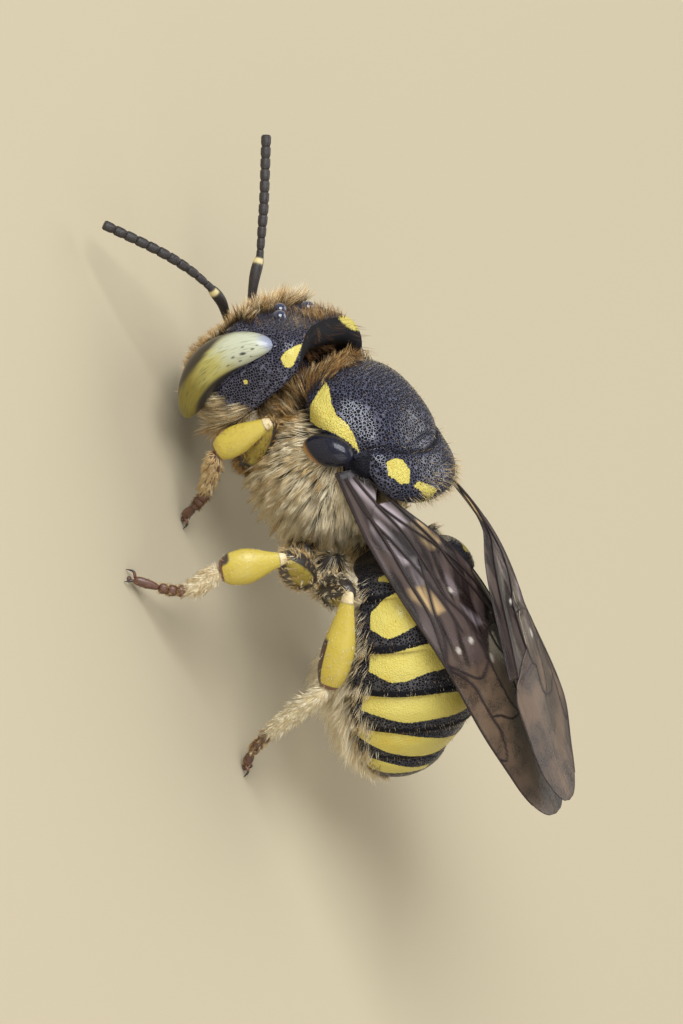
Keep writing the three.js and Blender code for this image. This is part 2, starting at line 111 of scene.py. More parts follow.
def ring_faces(rows, columns):
    """The triangles of a closed skin whose first and last rings are single points."""
    index = 1 + np.arange((rows - 2) * columns).reshape(rows - 2, columns)
    beside = np.roll(index, -1, axis=1)
    end = 1 + (rows - 2) * columns
    upper = np.stack([index[:-1], index[1:], beside[1:]], axis=-1).reshape(-1, 3)
    lower = np.stack([index[:-1], beside[1:], beside[:-1]], axis=-1).reshape(-1, 3)
    first = np.stack([np.zeros_like(index[0]), index[0], beside[0]], axis=-1)
    last = np.stack([np.full_like(index[0], end), beside[-1], index[-1]], axis=-1)
    return np.concatenate([first, upper, lower, last])


def new_object(name, data):
    made = bpy.data.objects.new(name, data)
    bpy.context.scene.collection.objects.link(made)
    return made


def new_piece(name, points, faces, finish, values=None):
    """A mesh from points in the bee's own mm, with any named values of its points kept on it."""
    mesh = bpy.data.meshes.new(name)
    corner = [points[faces[:, k]] for k in range(3)]
    if np.einsum("ij,ij->", corner[0], np.cross(corner[1], corner[2])) < 0:
        faces = faces[:, ::-1].copy()
    placed = (points + np.array([0, REAR, 0])) * MM
    count, corners = faces.shape
    mesh.vertices.add(len(points))
    mesh.vertices.foreach_set("co", placed.astype(np.float32).ravel())
    mesh.loops.add(count * corners)
    mesh.loops.foreach_set("vertex_index", faces.astype(np.int32).ravel())
    mesh.polygons.add(count)
    mesh.polygons.foreach_set("loop_start", np.arange(0, count * corners, corners, dtype=np.int32))
    mesh.polygons.foreach_set("use_smooth", np.ones(count, dtype=bool))
    mesh.update(calc_edges=True)
    mesh.validate()
    for key, value in (values or {}).items():
        kind, field = ("FLOAT", "value") if value.ndim == 1 else ("FLOAT_COLOR", "color")
        stored = mesh.attributes.new(key, kind, "POINT")
        stored.data.foreach_set(field, value.astype(np.float32).ravel())
    mesh.materials.append(finish)
    return new_object(name, mesh)


def closed_piece(name, grid, finish, values=None):
    """A piece from one closed grid of rings, with any values of its points given as grids too."""
    listed = {key: rows_to_points(value) for key, value in (values or {}).items()}
    return new_piece(name, rows_to_points(grid), ring_faces(*grid.shape[:2]), finish, listed)


def fasten(piece, slot, *nodes):
    """Puts a piece on the bee's one body, in place of its CAD nodes. slot is not used."""
    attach(piece, "root")
    if nodes:
        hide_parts(*nodes)


def new_finish(name):
    """A new node material, with its shader and its node tree."""
    finish = bpy.data.materials.new(name)
    finish.use_nodes = True
    tree = finish.node_tree
    return finish, tree, tree.nodes["Principled BSDF"]


def feed(made, inputs):
    """Gives a node's inputs their sockets or plain values."""
    for key, value in inputs.items():
        if isinstance(value, bpy.types.NodeSocket):
            made.id_data.links.new(value, made.inputs[key])
        else:
            made.inputs[key].default_value = value


def node(tree, kind, inputs=None, **settings):
    """Adds a node, makes its settings, and feeds its inputs."""
    made = tree.nodes.new(kind)
    for key, value in settings.items():
        setattr(made, key, value)
    feed(made, inputs or {})
    return made


def stored(tree, name):
    return node(tree, "ShaderNodeAttribute", attribute_name=name).outputs["Fac"]


def blend(tree, share, first, second):
    """A colour between two others, each a socket or a plain colour."""
    return node(tree, "ShaderNodeMix", {0: share, 6: first, 7: second}, data_type="RGBA").outputs[2]


def sum_up(tree, kind, *values):
    return node(tree, "ShaderNodeMath", dict(enumerate(values)), operation=kind).outputs[0]


def between(tree, value, low, high, start=0.0, stop=1.0):
    inputs = {"Value": value, "From Min": low, "From Max": high, "To Min": start, "To Max": stop}
    return node(tree, "ShaderNodeMapRange", inputs, interpolation_type="SMOOTHSTEP").outputs[0]


def own_place(tree):
    return node(tree, "ShaderNodeTexCoord").outputs["Object"]


def noise(tree, place, size, detail):
    """Noise from 0 to 1 in patches about `size` across, in the units of `place`."""
    inputs = {"Vector": place, "Scale": 1 / size, "Detail": detail}
    return node(tree, "ShaderNodeTexNoise", inputs).outputs["Fac"]


def relief(tree, height, depth, strength=1.0, under=None, **settings):
    """The normal of a surface with relief `depth` mm deep, laid over the relief `under`."""
    inputs = {"Height": height, "Distance": depth * MM, "Strength": strength}
    if under is not None:
        inputs["Normal"] = under
    return node(tree, "ShaderNodeBump", inputs, **settings).outputs["Normal"]


BLACK_WALL = (0.0025, 0.0025, 0.005, 1)
# The ridges' colour is a painted bluish sheen on the black wall, not a colour of its own.
RIDGE_SHEEN_BLUE = (0.065, 0.068, 0.11, 1)
LEMON = (0.60, 0.51, 0.12, 1)
OCHRE = (0.58, 0.42, 0.05, 1)


def wall_finish(name, pit, depth, ridge=RIDGE_SHEEN_BLUE, gloss=0.24):
    """Black body wall with yellow marks: pits `pit` mm apart and `depth` mm deep, and a low gloss. The ridges
    between the pits take the colour `ridge`, a painted bluish sheen on the black.
    """
    finish, tree, shader = new_finish(name)
    place = own_place(tree)
    cells = node(tree, "ShaderNodeTexVoronoi", {"Vector": place, "Scale": 1 / (pit * MM), "Randomness": 0.75},
                 feature="DISTANCE_TO_EDGE").outputs["Distance"]
    grain, cloud = noise(tree, place, 0.05 * MM, 3), noise(tree, place, 0.7 * MM, 2)
    ragged = sum_up(tree, "MULTIPLY_ADD", grain, 0.09, -0.045)
    is_yellow = between(tree, sum_up(tree, "ADD", stored(tree, "yellow"), ragged), -0.012, 0.012)
    pitted = stored(tree, "pitted")
    net = sum_up(tree, "MULTIPLY", between(tree, cells, 0.04, 0.17, 1.0, 0.0), between(tree, pitted, 0, 1))
    # Painted sheen: the net of ridges gets the light ridge colour, and the pits keep the black.
    dark = blend(tree, net, BLACK_WALL, ridge)
    warm = blend(tree, between(tree, cloud, 0.5, 0.8, 0, 0.7), LEMON, OCHRE)
    specked = blend(tree, between(tree, grain, 0.5, 0.8, 0, 0.35), warm, OCHRE)
    polish = between(tree, net, 0, 1, 0.6, gloss)
    pits = between(tree, cells, 0.02, 0.3, 1.0, 0.0)
    strength = sum_up(tree, "MULTIPLY", pitted, between(tree, is_yellow, 0, 1, 1.0, 0.35))
    pitting = relief(tree, sum_up(tree, "MULTIPLY", pits, strength), depth)
    feed(shader, {
        "Base Color": blend(tree, is_yellow, dark, specked),
        "Roughness": between(tree, is_yellow, 0, 1, polish, 0.5),
        "Coat Weight": between(tree, net, 0, 1, 0.0, 0.8),
        "Normal": relief(tree, grain, 0.006, under=pitting),
        "Specular IOR Level": 0.15, "Coat Roughness": 0.2})
    return finish


def from_segment(first, second, start, stop):
    """The distance from each place to the straight line between two points."""
    side = stop - start
    share = ((first - start[0]) * side[0] + (second - start[1]) * side[1]) / max(side @ side, 1e-9)
    share = np.clip(share, 0, 1)
    return np.hypot(first - start[0] - share * side[0], second - start[1] - share * side[1])


def inside(first, second, outline):
    """How far each place lies inside a closed outline, in mm, and less than 0 outside it."""
    corners = np.array(outline, dtype=float)
    nearest = np.full(first.shape, 1e9)
    within = np.zeros(first.shape, dtype=bool)
    for a, b in zip(corners, np.roll(corners, -1, axis=0)):
        side = b - a
        nearest = np.minimum(nearest, from_segment(first, second, a, b))
        crosses = (a[1] > second) != (b[1] > second)
        reach = a[0] + (second - a[1]) * side[0] / (side[1] if side[1] else 1e-9)
        within ^= crosses & (first < reach)
    return np.where(within, nearest, -nearest)


def round_the_back(p):
    """The distance over the back from the middle line."""
    return np.arctan2(np.abs(p[..., 0]), p[..., 2]) * BACK_RADIUS


def back_groove(p, width):
    """The curved groove between the back and the shelf behind it: 1 at its bottom, 0 away from it."""
    return np.exp(-((p[..., 1] - 1.33 + 0.27 * p[..., 0] ** 2) / width) ** 2)


# The yellow hook on each shoulder: its outline along the thorax and over the back, in mm.
SHOULDER_HOOK = [
    (-1.5, 1.64), (-1.42, 2.05), (-1.25, 2.55), (-0.98, 2.88), (-0.76, 2.74), (-0.38, 2.46),
    (0.05, 2.3), (0.45, 2.26), (0.06, 2.1), (-0.3, 2.05), (-0.66, 2.12), (-0.97, 2.02), (-1.3, 1.78),
]

thorax_shape = boxy_ball(directions(120, 200, 0), THORAX, 2.5)
tx, ty, tz = (thorax_shape[..., k] for k in range(3))
tx *= 1 - 0.08 * smooth(tz, 0, THORAX["up"]) - 0.1 * smooth(-tz, 0.6, THORAX["down"])
over = round_the_back(thorax_shape)
bare = (1 - smooth(over, 2.35, 3.0)) * smooth(-ty, -1.5, -0.9)
thorax_shape *= 1 - mix(FLANK_COAT, BACK_COAT, bare)[..., None] / THORAX["width"]
hook = inside(ty, over, SHOULDER_HOOK)
# In the groove and the gap at the wing roots the wall is less pitted and loses the ridge sheen: smoother, and
# darker as painted shade.
groove = back_groove(thorax_shape, GROOVE_WIDTH) * smooth(tz, 0.9, 1.3)
shaded_wing_gap = smooth(over, 1.95, 2.1) * smooth(ty, 0.3, 0.5) * (1 - smooth(over, 2.6, 2.8))
thorax_shape *= 1 - GROOVE_DEPTH * groove[..., None]
thorax_points = in_frame(thorax_shape, THORAX)
wall = wall_finish("thorax_wall", pit=0.075, depth=0.06)
thorax = closed_piece("thorax_skin", thorax_points, wall, {
    "yellow": hook, "pitted": mix(0.5, 1.0, bare) * (1 - 0.8 * np.maximum(groove, shaded_wing_gap))})
fasten(thorax, "coat", "thorax")

# The scutellum, the shelf behind the back. Its rim stands free and carries four yellow spots.
SCUTELLUM = {"at": (0, 1.4, 1.26), "width": 1.8, "front": 0.98, "back": 0.98, "up": 0.46, "down": 0.46}
SHELF_SINK = 0.03           # how far the shelf is sunk into the back
AXILLA_SPOT = [(1.6, 1.0), (1.38, 1.06), (1.22, 1.2), (1.2, 1.5), (1.36, 1.76), (1.56, 1.62), (1.7, 1.3)]
RIM_SPOT = [(1.28, 1.86), (1.12, 1.84), (0.8, 2.08), (0.52, 2.26), (0.62, 2.34), (0.96, 2.2)]
shelf = boxy_ball(directions(90, 150, 0), SCUTELLUM, 2.7)
shelf_x, shelf_y, shelf_z = (shelf[..., k] for k in range(3))
sideways = (shelf_x / SCUTELLUM["width"]) ** 2
shelf_z += SCUTELLUM["at"][2] - 0.3 * sideways - 0.12 * shelf_y
shelf_y += SCUTELLUM["at"][1] - 0.35 * sideways
shelf_z -= SHELF_SINK
groove = back_groove(shelf, 0.07) * smooth(shelf_z, 1.0, 1.2)
shelf_z -= 0.1 * groove
out_x = np.abs(shelf_x)
spots = np.maximum(inside(out_x, shelf_y, AXILLA_SPOT), inside(out_x, shelf_y, RIM_SPOT))
spots = np.where(shelf_z > 0.9, spots, -1.0)
# The groove in the shelf is less pitted and loses the ridge sheen too: smoother, and darker as painted shade.
scutellum = closed_piece("scutellum_plate", in_frame(shelf, THORAX), wall,
                         {"yellow": spots, "pitted": 1 - 0.8 * groove})
fasten(scutellum, "black", "scutellum")

# The tegulae, two small black-blue shields over the wing roots, each with an orange-brown front edge.
TEGULA = {"at": (1.98, -0.1, 0.45), "width": 0.38, "front": 0.5, "back": 0.5, "up": 0.52, "down": 0.52}
TEGULA_SLANT = 0.5          # how far back its upper end leans


def shell_finish(name):
    """Smooth polished body wall, black-blue, turning orange-brown where `brown` is high."""
    finish, tree, shader = new_finish(name)
    place = own_place(tree)
    grain = noise(tree, place, 0.04 * MM, 3)
    rust = blend(tree, grain, (0.28, 0.11, 0.025, 1), (0.6, 0.34, 0.1, 1))
    dark = blend(tree, grain, (0.002, 0.002, 0.004, 1), (0.012, 0.014, 0.032, 1))
    dots = node(tree, "ShaderNodeTexVoronoi",
                {"Vector": place, "Scale": 1 / (0.055 * MM)}).outputs["Distance"]
    dimples = relief(tree, between(tree, dots, 0.1, 0.45), 0.012)
    feed(shader, {"Base Color": blend(tree, stored(tree, "brown"), dark, rust),
                  "Normal": relief(tree, grain, 0.006, under=dimples), "Roughness": 0.3,
                  "Specular IOR Level": 0.2, "Coat Weight": 0.4, "Coat Roughness": 0.08})
    return finish


def mirror(grid, side):
    return grid * np.array([side, 1, 1])


polished = shell_finish("shield_polish")
shield = boxy_ball(directions(40, 60, 0), TEGULA, 2.2)
brown = 1 - smooth(shield[..., 2] / TEGULA["down"], -0.8, -0.45)
shield[..., 1] += TEGULA_SLANT * shield[..., 2]
shield += np.array(TEGULA["at"])
for side, name in SIDES:
    form = in_frame(mirror(shield, side), THORAX)
    tegula = closed_piece(f"tegula_shield_{name}", form, polished, {"brown": brown})
    fasten(tegula, "gloss", f"tegula_{name}")

# ---- Neck and waist ----
# Two short bare stalks of black body wall: one carries the head, the other the abdomen.
def curve_at(points, share):
    """Places along a smooth curve through a few points, each share running from 0 to 1."""
    points = np.array(points, dtype=float)
    share = np.asarray(share, dtype=float)
    ends = np.concatenate([[2 * points[0] - points[1]], points, [2 * points[-1] - points[-2]]])
    spans = len(points) - 1
    at = np.clip(share * spans, 0, spans - 1e-9)
    step = at.astype(int)
    t = (at - step)[..., None]
    a, b, c, d = (ends[step + k] for k in range(4))
    return 0.5 * (2 * b + (c - a) * t + (2 * a - 5 * b + 4 * c - d) * t ** 2
                  + (3 * b - a - 3 * c + d) * t ** 3)


def limb(points, breadth, flat=1.0, rows=40, columns=40, blunt=0.38, sideways=(1, 0, 0)):
    """A round-ended limb along a curve, its thin way `sideways`. Gives its grid, share and angle."""
    down = np.linspace(0, np.pi, rows)
    share = (1 - np.cos(down)) / 2
    middle = curve_at(points, share)
    heading = unit(curve_at(points, share + 0.01) - curve_at(points, share - 0.01))
    sideways = np.array(sideways, dtype=float)
    thin = unit(sideways - heading * (heading @ sideways)[:, None])
    broad = np.cross(heading, thin)
    angle = np.linspace(0, 2 * np.pi, columns, endpoint=False)
    half = np.vectorize(breadth)(share) * np.sin(down) ** blunt
    ring = thin[:, None] * np.cos(angle)[None, :, None] * flat + broad[:, None] * np.sin(angle)[None, :, None]
    grid = middle[:, None] + ring * half[:, None, None]
    return grid, np.repeat(share[:, None], columns, 1), np.repeat(angle[None], rows, 0)


STALKS = {"neck": ([(0, -5.9, 3.0), (0, -4.6, 3.5)], 0.62),
          "waist": ([(0, -2.3, 4.1), (0, -0.3, 4.5)], 0.42)}
for name, (way, radius) in STALKS.items():
    stalk, share, angle = limb(way, lambda t: radius)
    plain = np.ones(share.shape)
    piece = closed_piece(f"{name}_stalk", stalk, wall, {"yellow": -plain, "pitted": 0.4 * plain})
    fasten(piece, "coat", name)

# ---- Head ----
# One black skull, finely pitted, with a painted blue sheen on the ridges between its pits, nose down,
# hollowed behind for the neck. The temples carry yellow spots, and the shield of the face over the mouth is
# yellow.
HEAD = {"at": (0, -6.25, 2.55), "turn": 6, "pitch": 23,
        "width": 2.12, "front": 1.0, "back": 1.6, "up": 2.06, "down": 1.8}
RIM = {"width": 1.95, "height": 1.9, "back": 1.28, "crown": 0.55, "middle": 0.45, "chin": 0.62, "hollow": 0.7}
EYE = {"at": (1.9, -0.04, -0.16), "width": 0.52, "front": 0.53, "back": 0.53, "up": 1.6, "down": 1.6}
HEAD_SQUARE = 4.0          # how square the head's outline is, from 2 for round
HEAD_RADIUS = 1.9          # the head's mean radius
BOW = 0.5                  # how far back an eye's two ends curve
FACE_COAT = 0.16           # how far the skull is drawn in under the hair of the face
SKULL_COAT = 0.03
CHIN_TAPER = 0.22          # how much narrower the head is at the mouth
BROW_DROP = 0.7            # how far the crown slopes down to the face
FACE_SHIELD = {"width": 0.95, "height": 0.72, "middle": -1.0, "rise": 0.2}
SOCKET = (0.5, -0.03)      # where a feeler is rooted on the face: across and up
TEMPLE_SPOT = [(-0.34, 0.64), (-0.05, 0.61), (0.22, 0.61), (0.34, 0.69), (0.38, 0.83), (0.34, 0.95),
               (0.2, 1.0), (0.08, 0.93), (-0.15, 0.78)]
FAR_SPOT = {"out": 1.13, "width": 0.46, "height": 0.11}     # the spot on the right rim


def rim_behind(x, z):
    """How far behind the head's middle its sharp rear rim lies."""
    above, below = np.maximum(z, 0) / HEAD["up"], np.maximum(-z, 0) / HEAD["down"]
    middle = RIM["middle"] * (1 - (x / HEAD["width"]) ** 2) * smooth(above, 0.7, 0.97)
    return RIM["back"] - RIM["crown"] * above ** 5 - middle - RIM["chin"] * below ** 1.8


def skull_form(way, inset):
    """The head's shape, drawn in a little where the coat grows on it."""
    p = boxy_ball(way, HEAD, HEAD_SQUARE)
    x, y, z = np.moveaxis(p, -1, 0).copy()
    lower = smooth(-z, 0.1, HEAD["down"])
    upper = smooth(z, 0.3, HEAD["up"])
    ahead = smooth(0.6 - y, 0, 1.3)
    outward = ((np.abs(x) / RIM["width"]) ** 4 + (np.abs(z - 0.05) / RIM["height"]) ** 4) ** 0.25
    bowl = RIM["hollow"] * smooth(1 - outward, 0, 0.4)
    p[..., 0] *= 1 - CHIN_TAPER * lower
    p[..., 1] = np.minimum(p[..., 1], rim_behind(x, z) - bowl)
    p[..., 2] -= BROW_DROP * upper * ahead
    return p * (1 - np.asarray(inset)[..., None] / HEAD_RADIUS)


head_way = directions(150, 230, 0)
face = smooth(-skull_form(head_way, 0.0)[..., 1], 0.25, 0.75)
skull = skull_form(head_way, mix(SKULL_COAT, FACE_COAT, face))
wide, deep, tall = np.moveaxis(skull, -1, 0).copy()
shield_x, shield_z = wide / FACE_SHIELD["width"], (tall - FACE_SHIELD["middle"]) / FACE_SHIELD["height"]
shield_rise = np.sqrt(np.clip(1 - shield_x ** 2 - shield_z ** 2, 0, 1))
skull[..., 1] -= face * (FACE_SHIELD["rise"] * shield_rise)
root_away = np.hypot(np.abs(wide) - SOCKET[0], tall - SOCKET[1])
ring_and_pit = 0.06 * np.exp(-((root_away - 0.17) / 0.05) ** 2) - 0.08 * np.exp(-(root_away / 0.1) ** 2)
skull[..., 1] -= face * ring_and_pit
reach = (tall - EYE["at"][2]) / EYE["up"]
rim_away = np.hypot((deep - EYE["at"][1] - BOW * (reach ** 2 - 0.5)) / EYE["front"], reach)
groove = 0.06 * np.exp(-((rim_away - 1.06) / 0.05) ** 2) * smooth(np.abs(wide), 0.9, 1.3)
skull *= 1 - groove[..., None] / HEAD_RADIUS
uncut = boxy_ball(head_way, HEAD, HEAD_SQUARE)
in_hollow = smooth(uncut[..., 1] - rim_behind(uncut[..., 0], uncut[..., 2]), 0.0, 0.06)

# The skull's yellow: the temples, a dot behind each eye, the face's shield with its black arrow, the
# cheeks, and the spot on the right rim.
temple = np.where((tall > 0.6) & (deep > 0), inside((np.abs(wide) - tall) * 0.7, deep, TEMPLE_SPOT), -1.0)
dot = np.where(np.abs(wide) > 1.5, 0.06 - np.hypot(deep - 0.6, tall - 0.33), -1.0)
arrow = 0.2 * smooth(tall, -1.6, -0.5) + 0.05 - np.abs(wide)
shield_mark = np.minimum((0.88 - np.hypot(shield_x, shield_z)) * 0.8, -np.minimum(arrow, 0.2))
cheek_mark = np.minimum(0.16 - np.abs(np.abs(wide) - 1.12), -0.1 - tall)
front_mark = np.where(deep < -0.2, np.maximum(shield_mark, cheek_mark), -1.0)
skull_yellow = np.maximum(np.maximum(temple, dot), front_mark) - 2 * (in_hollow > 0.4)
rim_top = 2.18 - 0.19 * np.abs(wide)
far_spot = 1 - np.hypot((wide + FAR_SPOT["out"]) / FAR_SPOT["width"], (tall - rim_top) / FAR_SPOT["height"])
skull_yellow = np.where((wide < 0) & (deep > 0.2), np.maximum(skull_yellow, 0.1 * far_spot), skull_yellow)
# The skull's ridges get a lighter painted blue sheen than the thorax's, as the head faces the light.
skull_wall = wall_finish("skull_wall", pit=0.07, depth=0.05, ridge=(0.085, 0.084, 0.13, 1))
head_points = in_frame(skull, HEAD)
# In the hollow behind the head the wall is unpitted and without the ridge sheen: smooth, and dark as painted
# shade.
head = closed_piece("head_skin", head_points, skull_wall, {
    "yellow": skull_yellow, "pitted": (1 - 0.3 * smooth(tall, 1.0, 1.4)) * (1 - in_hollow)})
fasten(head, "black", "head")

# The three simple eyes on the crown are low glassy domes, set into the skull.
OCELLI = ((0.74, -0.35), (-0.74, -0.35), (0, -0.62))
OCELLUS_RADIUS = 0.19
OCELLUS_SINK = 0.08         # how far each lies below the crown
glass, tree, shader = new_finish("simple_eye_glass")
# Painted sheen: the glass's colour turns lighter blue where the dome turns away from the view.
glint = node(tree, "ShaderNodeLayerWeight", {"Blend": 0.35}).outputs["Facing"]
feed(shader, {"Base Color": blend(tree, glint, (0.008, 0.012, 0.03, 1), (0.1, 0.13, 0.22, 1)),
              "Roughness": 0.06, "Coat Weight": 1.0, "Coat Roughness": 0.03})


def join_forms(forms):
    """Several closed grids as one list of points and one of faces."""
    points, faces, start = [], [], 0
    for form in forms:
        listed = rows_to_points(form)
        points.append(listed)
        faces.append(ring_faces(*form.shape[:2]) + start)
        start += len(listed)
    return np.concatenate(points), np.concatenate(faces)


crown = skull[(deep < 0.4) & (tall > 0)]
domes = []
for x, y in OCELLI:
    nearest = crown[np.argsort(np.hypot(crown[:, 0] - x, crown[:, 1] - y))[:12]]
    dome = directions(24, 32, 2) * OCELLUS_RADIUS + np.array([x, y, nearest[:, 2].max() - OCELLUS_SINK])
    domes.append(in_frame(dome, HEAD))
fasten(new_piece("simple_eyes", *join_forms(domes), glass), "eye")

# ---- Compound eyes ----
# Two long facetted domes, grey-green and cream above, olive below, with a dark front border and dark
# flecks where the facets are seen end on.
FLECKS = [(0.62, 0.28, 0.055), (0.78, 0.16, 0.03), (0.86, 0.02, 0.02), (0.46, 0.3, 0.034), (0.5, 0.58, 0.026),
          (0.3, 0.55, 0.024), (0.68, 0.52, 0.02), (0.68, -0.04, 0.024)]


def eye_form(way):
    p = boxy_ball(way, EYE, 2.2)
    reach = p[..., 2] / EYE["up"]
    p[..., 1] += BOW * (reach ** 2 - 0.5)
    p[..., 0] -= 0.06 * reach ** 2
    return p + np.array(EYE["at"]), reach


def stretch(tree, place, scale):
    return node(tree, "ShaderNodeMapping", {"Vector": place, "Scale": scale}).outputs[0]


eyeball, eye_reach = eye_form(directions(120, 140, 2))
eye_middle = EYE["at"][1] + BOW * (eye_reach ** 2 - 0.5)
eye_round = np.clip((eyeball[..., 1] - eye_middle) / EYE["front"], -1, 1)
facets, tree, shader = new_finish("eye_facets")
along, around = stored(tree, "along"), stored(tree, "around")
net = node(tree, "ShaderNodeCombineXYZ", {"X": around, "Y": along, "Z": 0.0}).outputs[0]
streaks = noise(tree, stretch(tree, net, (15.0, 4.5, 1.0)), 1, 2)
soft = noise(tree, stretch(tree, net, (3.0, 2.0, 1.0)), 1, 1)
lifted = sum_up(tree, "MULTIPLY_ADD", soft, 0.5, -0.25)
height = sum_up(tree, "ADD", along, lifted)
flecked = sum_up(tree, "MULTIPLY", between(tree, streaks, 0.5, 0.7),
                 between(tree, along, -0.3, 0.4, 0.8, 0.45))
middle_band = between(tree, sum_up(tree, "ABSOLUTE", around), 0.35, 0.8, 1.0, 0.35)
border_edge = sum_up(tree, "ADD", stored(tree, "border"), sum_up(tree, "MULTIPLY", lifted, 0.7))
rear_edge = sum_up(tree, "SUBTRACT", around, sum_up(tree, "MULTIPLY", along, 0.1))
colour = blend(tree, between(tree, height, -0.45, 0.2), (0.19, 0.15, 0.018, 1), (0.42, 0.38, 0.11, 1))
for share, tint in (
        (between(tree, height, 0.05, 0.55), (0.47, 0.49, 0.36, 1)),                  # cream above
        (between(tree, along, 0.84, 1.0), (0.26, 0.28, 0.38, 1)),                    # blue-grey at the top
        (sum_up(tree, "MULTIPLY", flecked, middle_band), (0.09, 0.085, 0.035, 1)),   # fine streaks
        (stored(tree, "fleck"), (0.02, 0.02, 0.02, 1)),                              # round dark flecks
        (between(tree, border_edge, 0.0, 0.3), (0.03, 0.022, 0.014, 1)),             # front border
        (between(tree, rear_edge, 0.68, 0.84), (0.02, 0.018, 0.02, 1))):             # rear rim
    colour = blend(tree, share, colour, tint)
cells = node(tree, "ShaderNodeTexVoronoi",
             {"Vector": own_place(tree), "Scale": 1 / (0.028 * MM), "Randomness": 0.15}).outputs["Distance"]
feed(shader, {"Base Color": colour, "Normal": relief(tree, cells, 0.003, 0.5, invert=True),
              "Roughness": 0.34, "Coat Weight": 0.2, "Coat Roughness": 0.15})
border_width = np.where(eye_reach < -0.2, 0.85, 0.48)
border = 0.3 + 0.6 * np.exp(-((eye_reach + 0.2) / border_width) ** 2) - (eye_round + 1)
fleck = np.zeros(eye_reach.shape)
for up, across, radius in FLECKS:
    away = np.hypot((eye_reach - up) * 1.1, (eye_round - across) * 0.66)
    fleck = np.maximum(fleck, 1 - smooth(away, radius * 0.5, radius * 1.3))
for side, name in SIDES:
    eye = closed_piece(f"eye_dome_{name}", in_frame(mirror(eyeball, side), HEAD), facets,
                       {"along": eye_reach, "around": eye_round, "fleck": fleck, "border": border})
    fasten(eye, "eye", f"eye_{name}")

# ---- Jaws ----
# Two stout curved jaws close under the face, yellow at the root and ending in a row of dark teeth.
JAW = {"root": (1.25, -0.2, -1.3), "bend": (0.85, -0.48, -1.66), "tip": (0.17, -0.42, -1.9)}
TEETH = 6
jaw_wall, tree, shader = new_finish("jaw_wall")
grain = noise(tree, own_place(tree), 0.08 * MM, 4)
ochre = blend(tree, grain, LEMON, OCHRE)
rim = blend(tree, grain, (0.012, 0.006, 0.006, 1), (0.07, 0.02, 0.01, 1))
feed(shader, {"Base Color": blend(tree, stored(tree, "dark"), ochre, rim),
              "Normal": relief(tree, grain, 0.01), "Roughness": 0.3, "Coat Weight": 0.4})
jaw, share, angle = limb(list(JAW.values()), lambda t: 0.4 - 0.1 * t, 0.55, 80, 72)
teeth = 0.07 * np.abs(np.sin(share * np.pi * TEETH)) * smooth(np.sin(angle), 0.6, 1.0)
teeth *= smooth(share, 0.3, 0.5)
jaw[..., 2] -= teeth
jaw[..., 1] += 0.4 * teeth
for side, name in SIDES:
    piece = closed_piece(f"jaw_blade_{name}", in_frame(mirror(jaw, side), HEAD), jaw_wall,
                         {"dark": smooth(share - 0.25 * np.sin(angle), 0.35, 0.6)})
    fasten(piece, "gloss", f"jaw_{name}")

# ---- Feelers ----
# Two elbowed feelers: a long first joint, a small round second one, and ten short beads that end in
# a round tip. The beads are one shape, set along the feeler's path.
FEELER_PATHS = {
    "left": ([(0.5, -7.12, 2.15), (0.85, -7.88, 2.36), (1.2, -8.4, 2.37)],
             [(1.16, -8.34, 2.38), (1.55, -8.98, 2.15), (2.02, -9.68, 1.74), (2.6, -10.67, 0.87)]),
    "right": ([(-0.5, -7.12, 2.2), (-0.74, -8.05, 2.56), (-1.0, -8.58, 2.79)],
              [(-0.98, -8.52, 2.77), (-1.22, -9.12, 2.92), (-1.56, -9.86, 3.08), (-2.2, -11.25, 3.31)]),
}
BEADS = 11
BEAD_RADIUS = 0.125
feeler_wall, tree, shader = new_finish("feeler_wall")
down_fine = noise(tree, own_place(tree), 0.025 * MM, 3)
plain = blend(tree, between(tree, down_fine, 0.3, 0.8), (0.006, 0.005, 0.005, 1), (0.05, 0.04, 0.036, 1))
feed(shader, {"Base Color": blend(tree, stored(tree, "pale"), plain, (0.6, 0.5, 0.24, 1)),
              "Normal": relief(tree, down_fine, 0.01), "Roughness": 0.5})


def start_tree(name, inputs):
    """A node tree with named inputs. Gives it, the identifier of each input, and their sockets."""
    group = bpy.data.node_groups.new(name, "GeometryNodeTree")
    names = {}
    for label, (kind, value) in inputs.items():
        made = group.interface.new_socket(label, in_out="INPUT", socket_type=f"NodeSocket{kind}")
        if value is not None:
            made.default_value = value
        names[label] = made.identifier
    group.interface.new_socket("Mesh", in_out="OUTPUT", socket_type="NodeSocketGeometry")
    return group, names, node(group, "NodeGroupInput").outputs


def end_tree(group, mesh, finish):
    """Ends a node tree with plain, smooth mesh in its finish."""
    real = node(group, "GeometryNodeRealizeInstances", {"Geometry": mesh}).outputs[0]
    smoothed = node(group, "GeometryNodeSetShadeSmooth", {"Geometry": real}).outputs[0]
    coloured = node(group, "GeometryNodeSetMaterial", {"Geometry": smoothed, "Material": finish}).outputs[0]
    node(group, "NodeGroupOutput", {0: coloured})


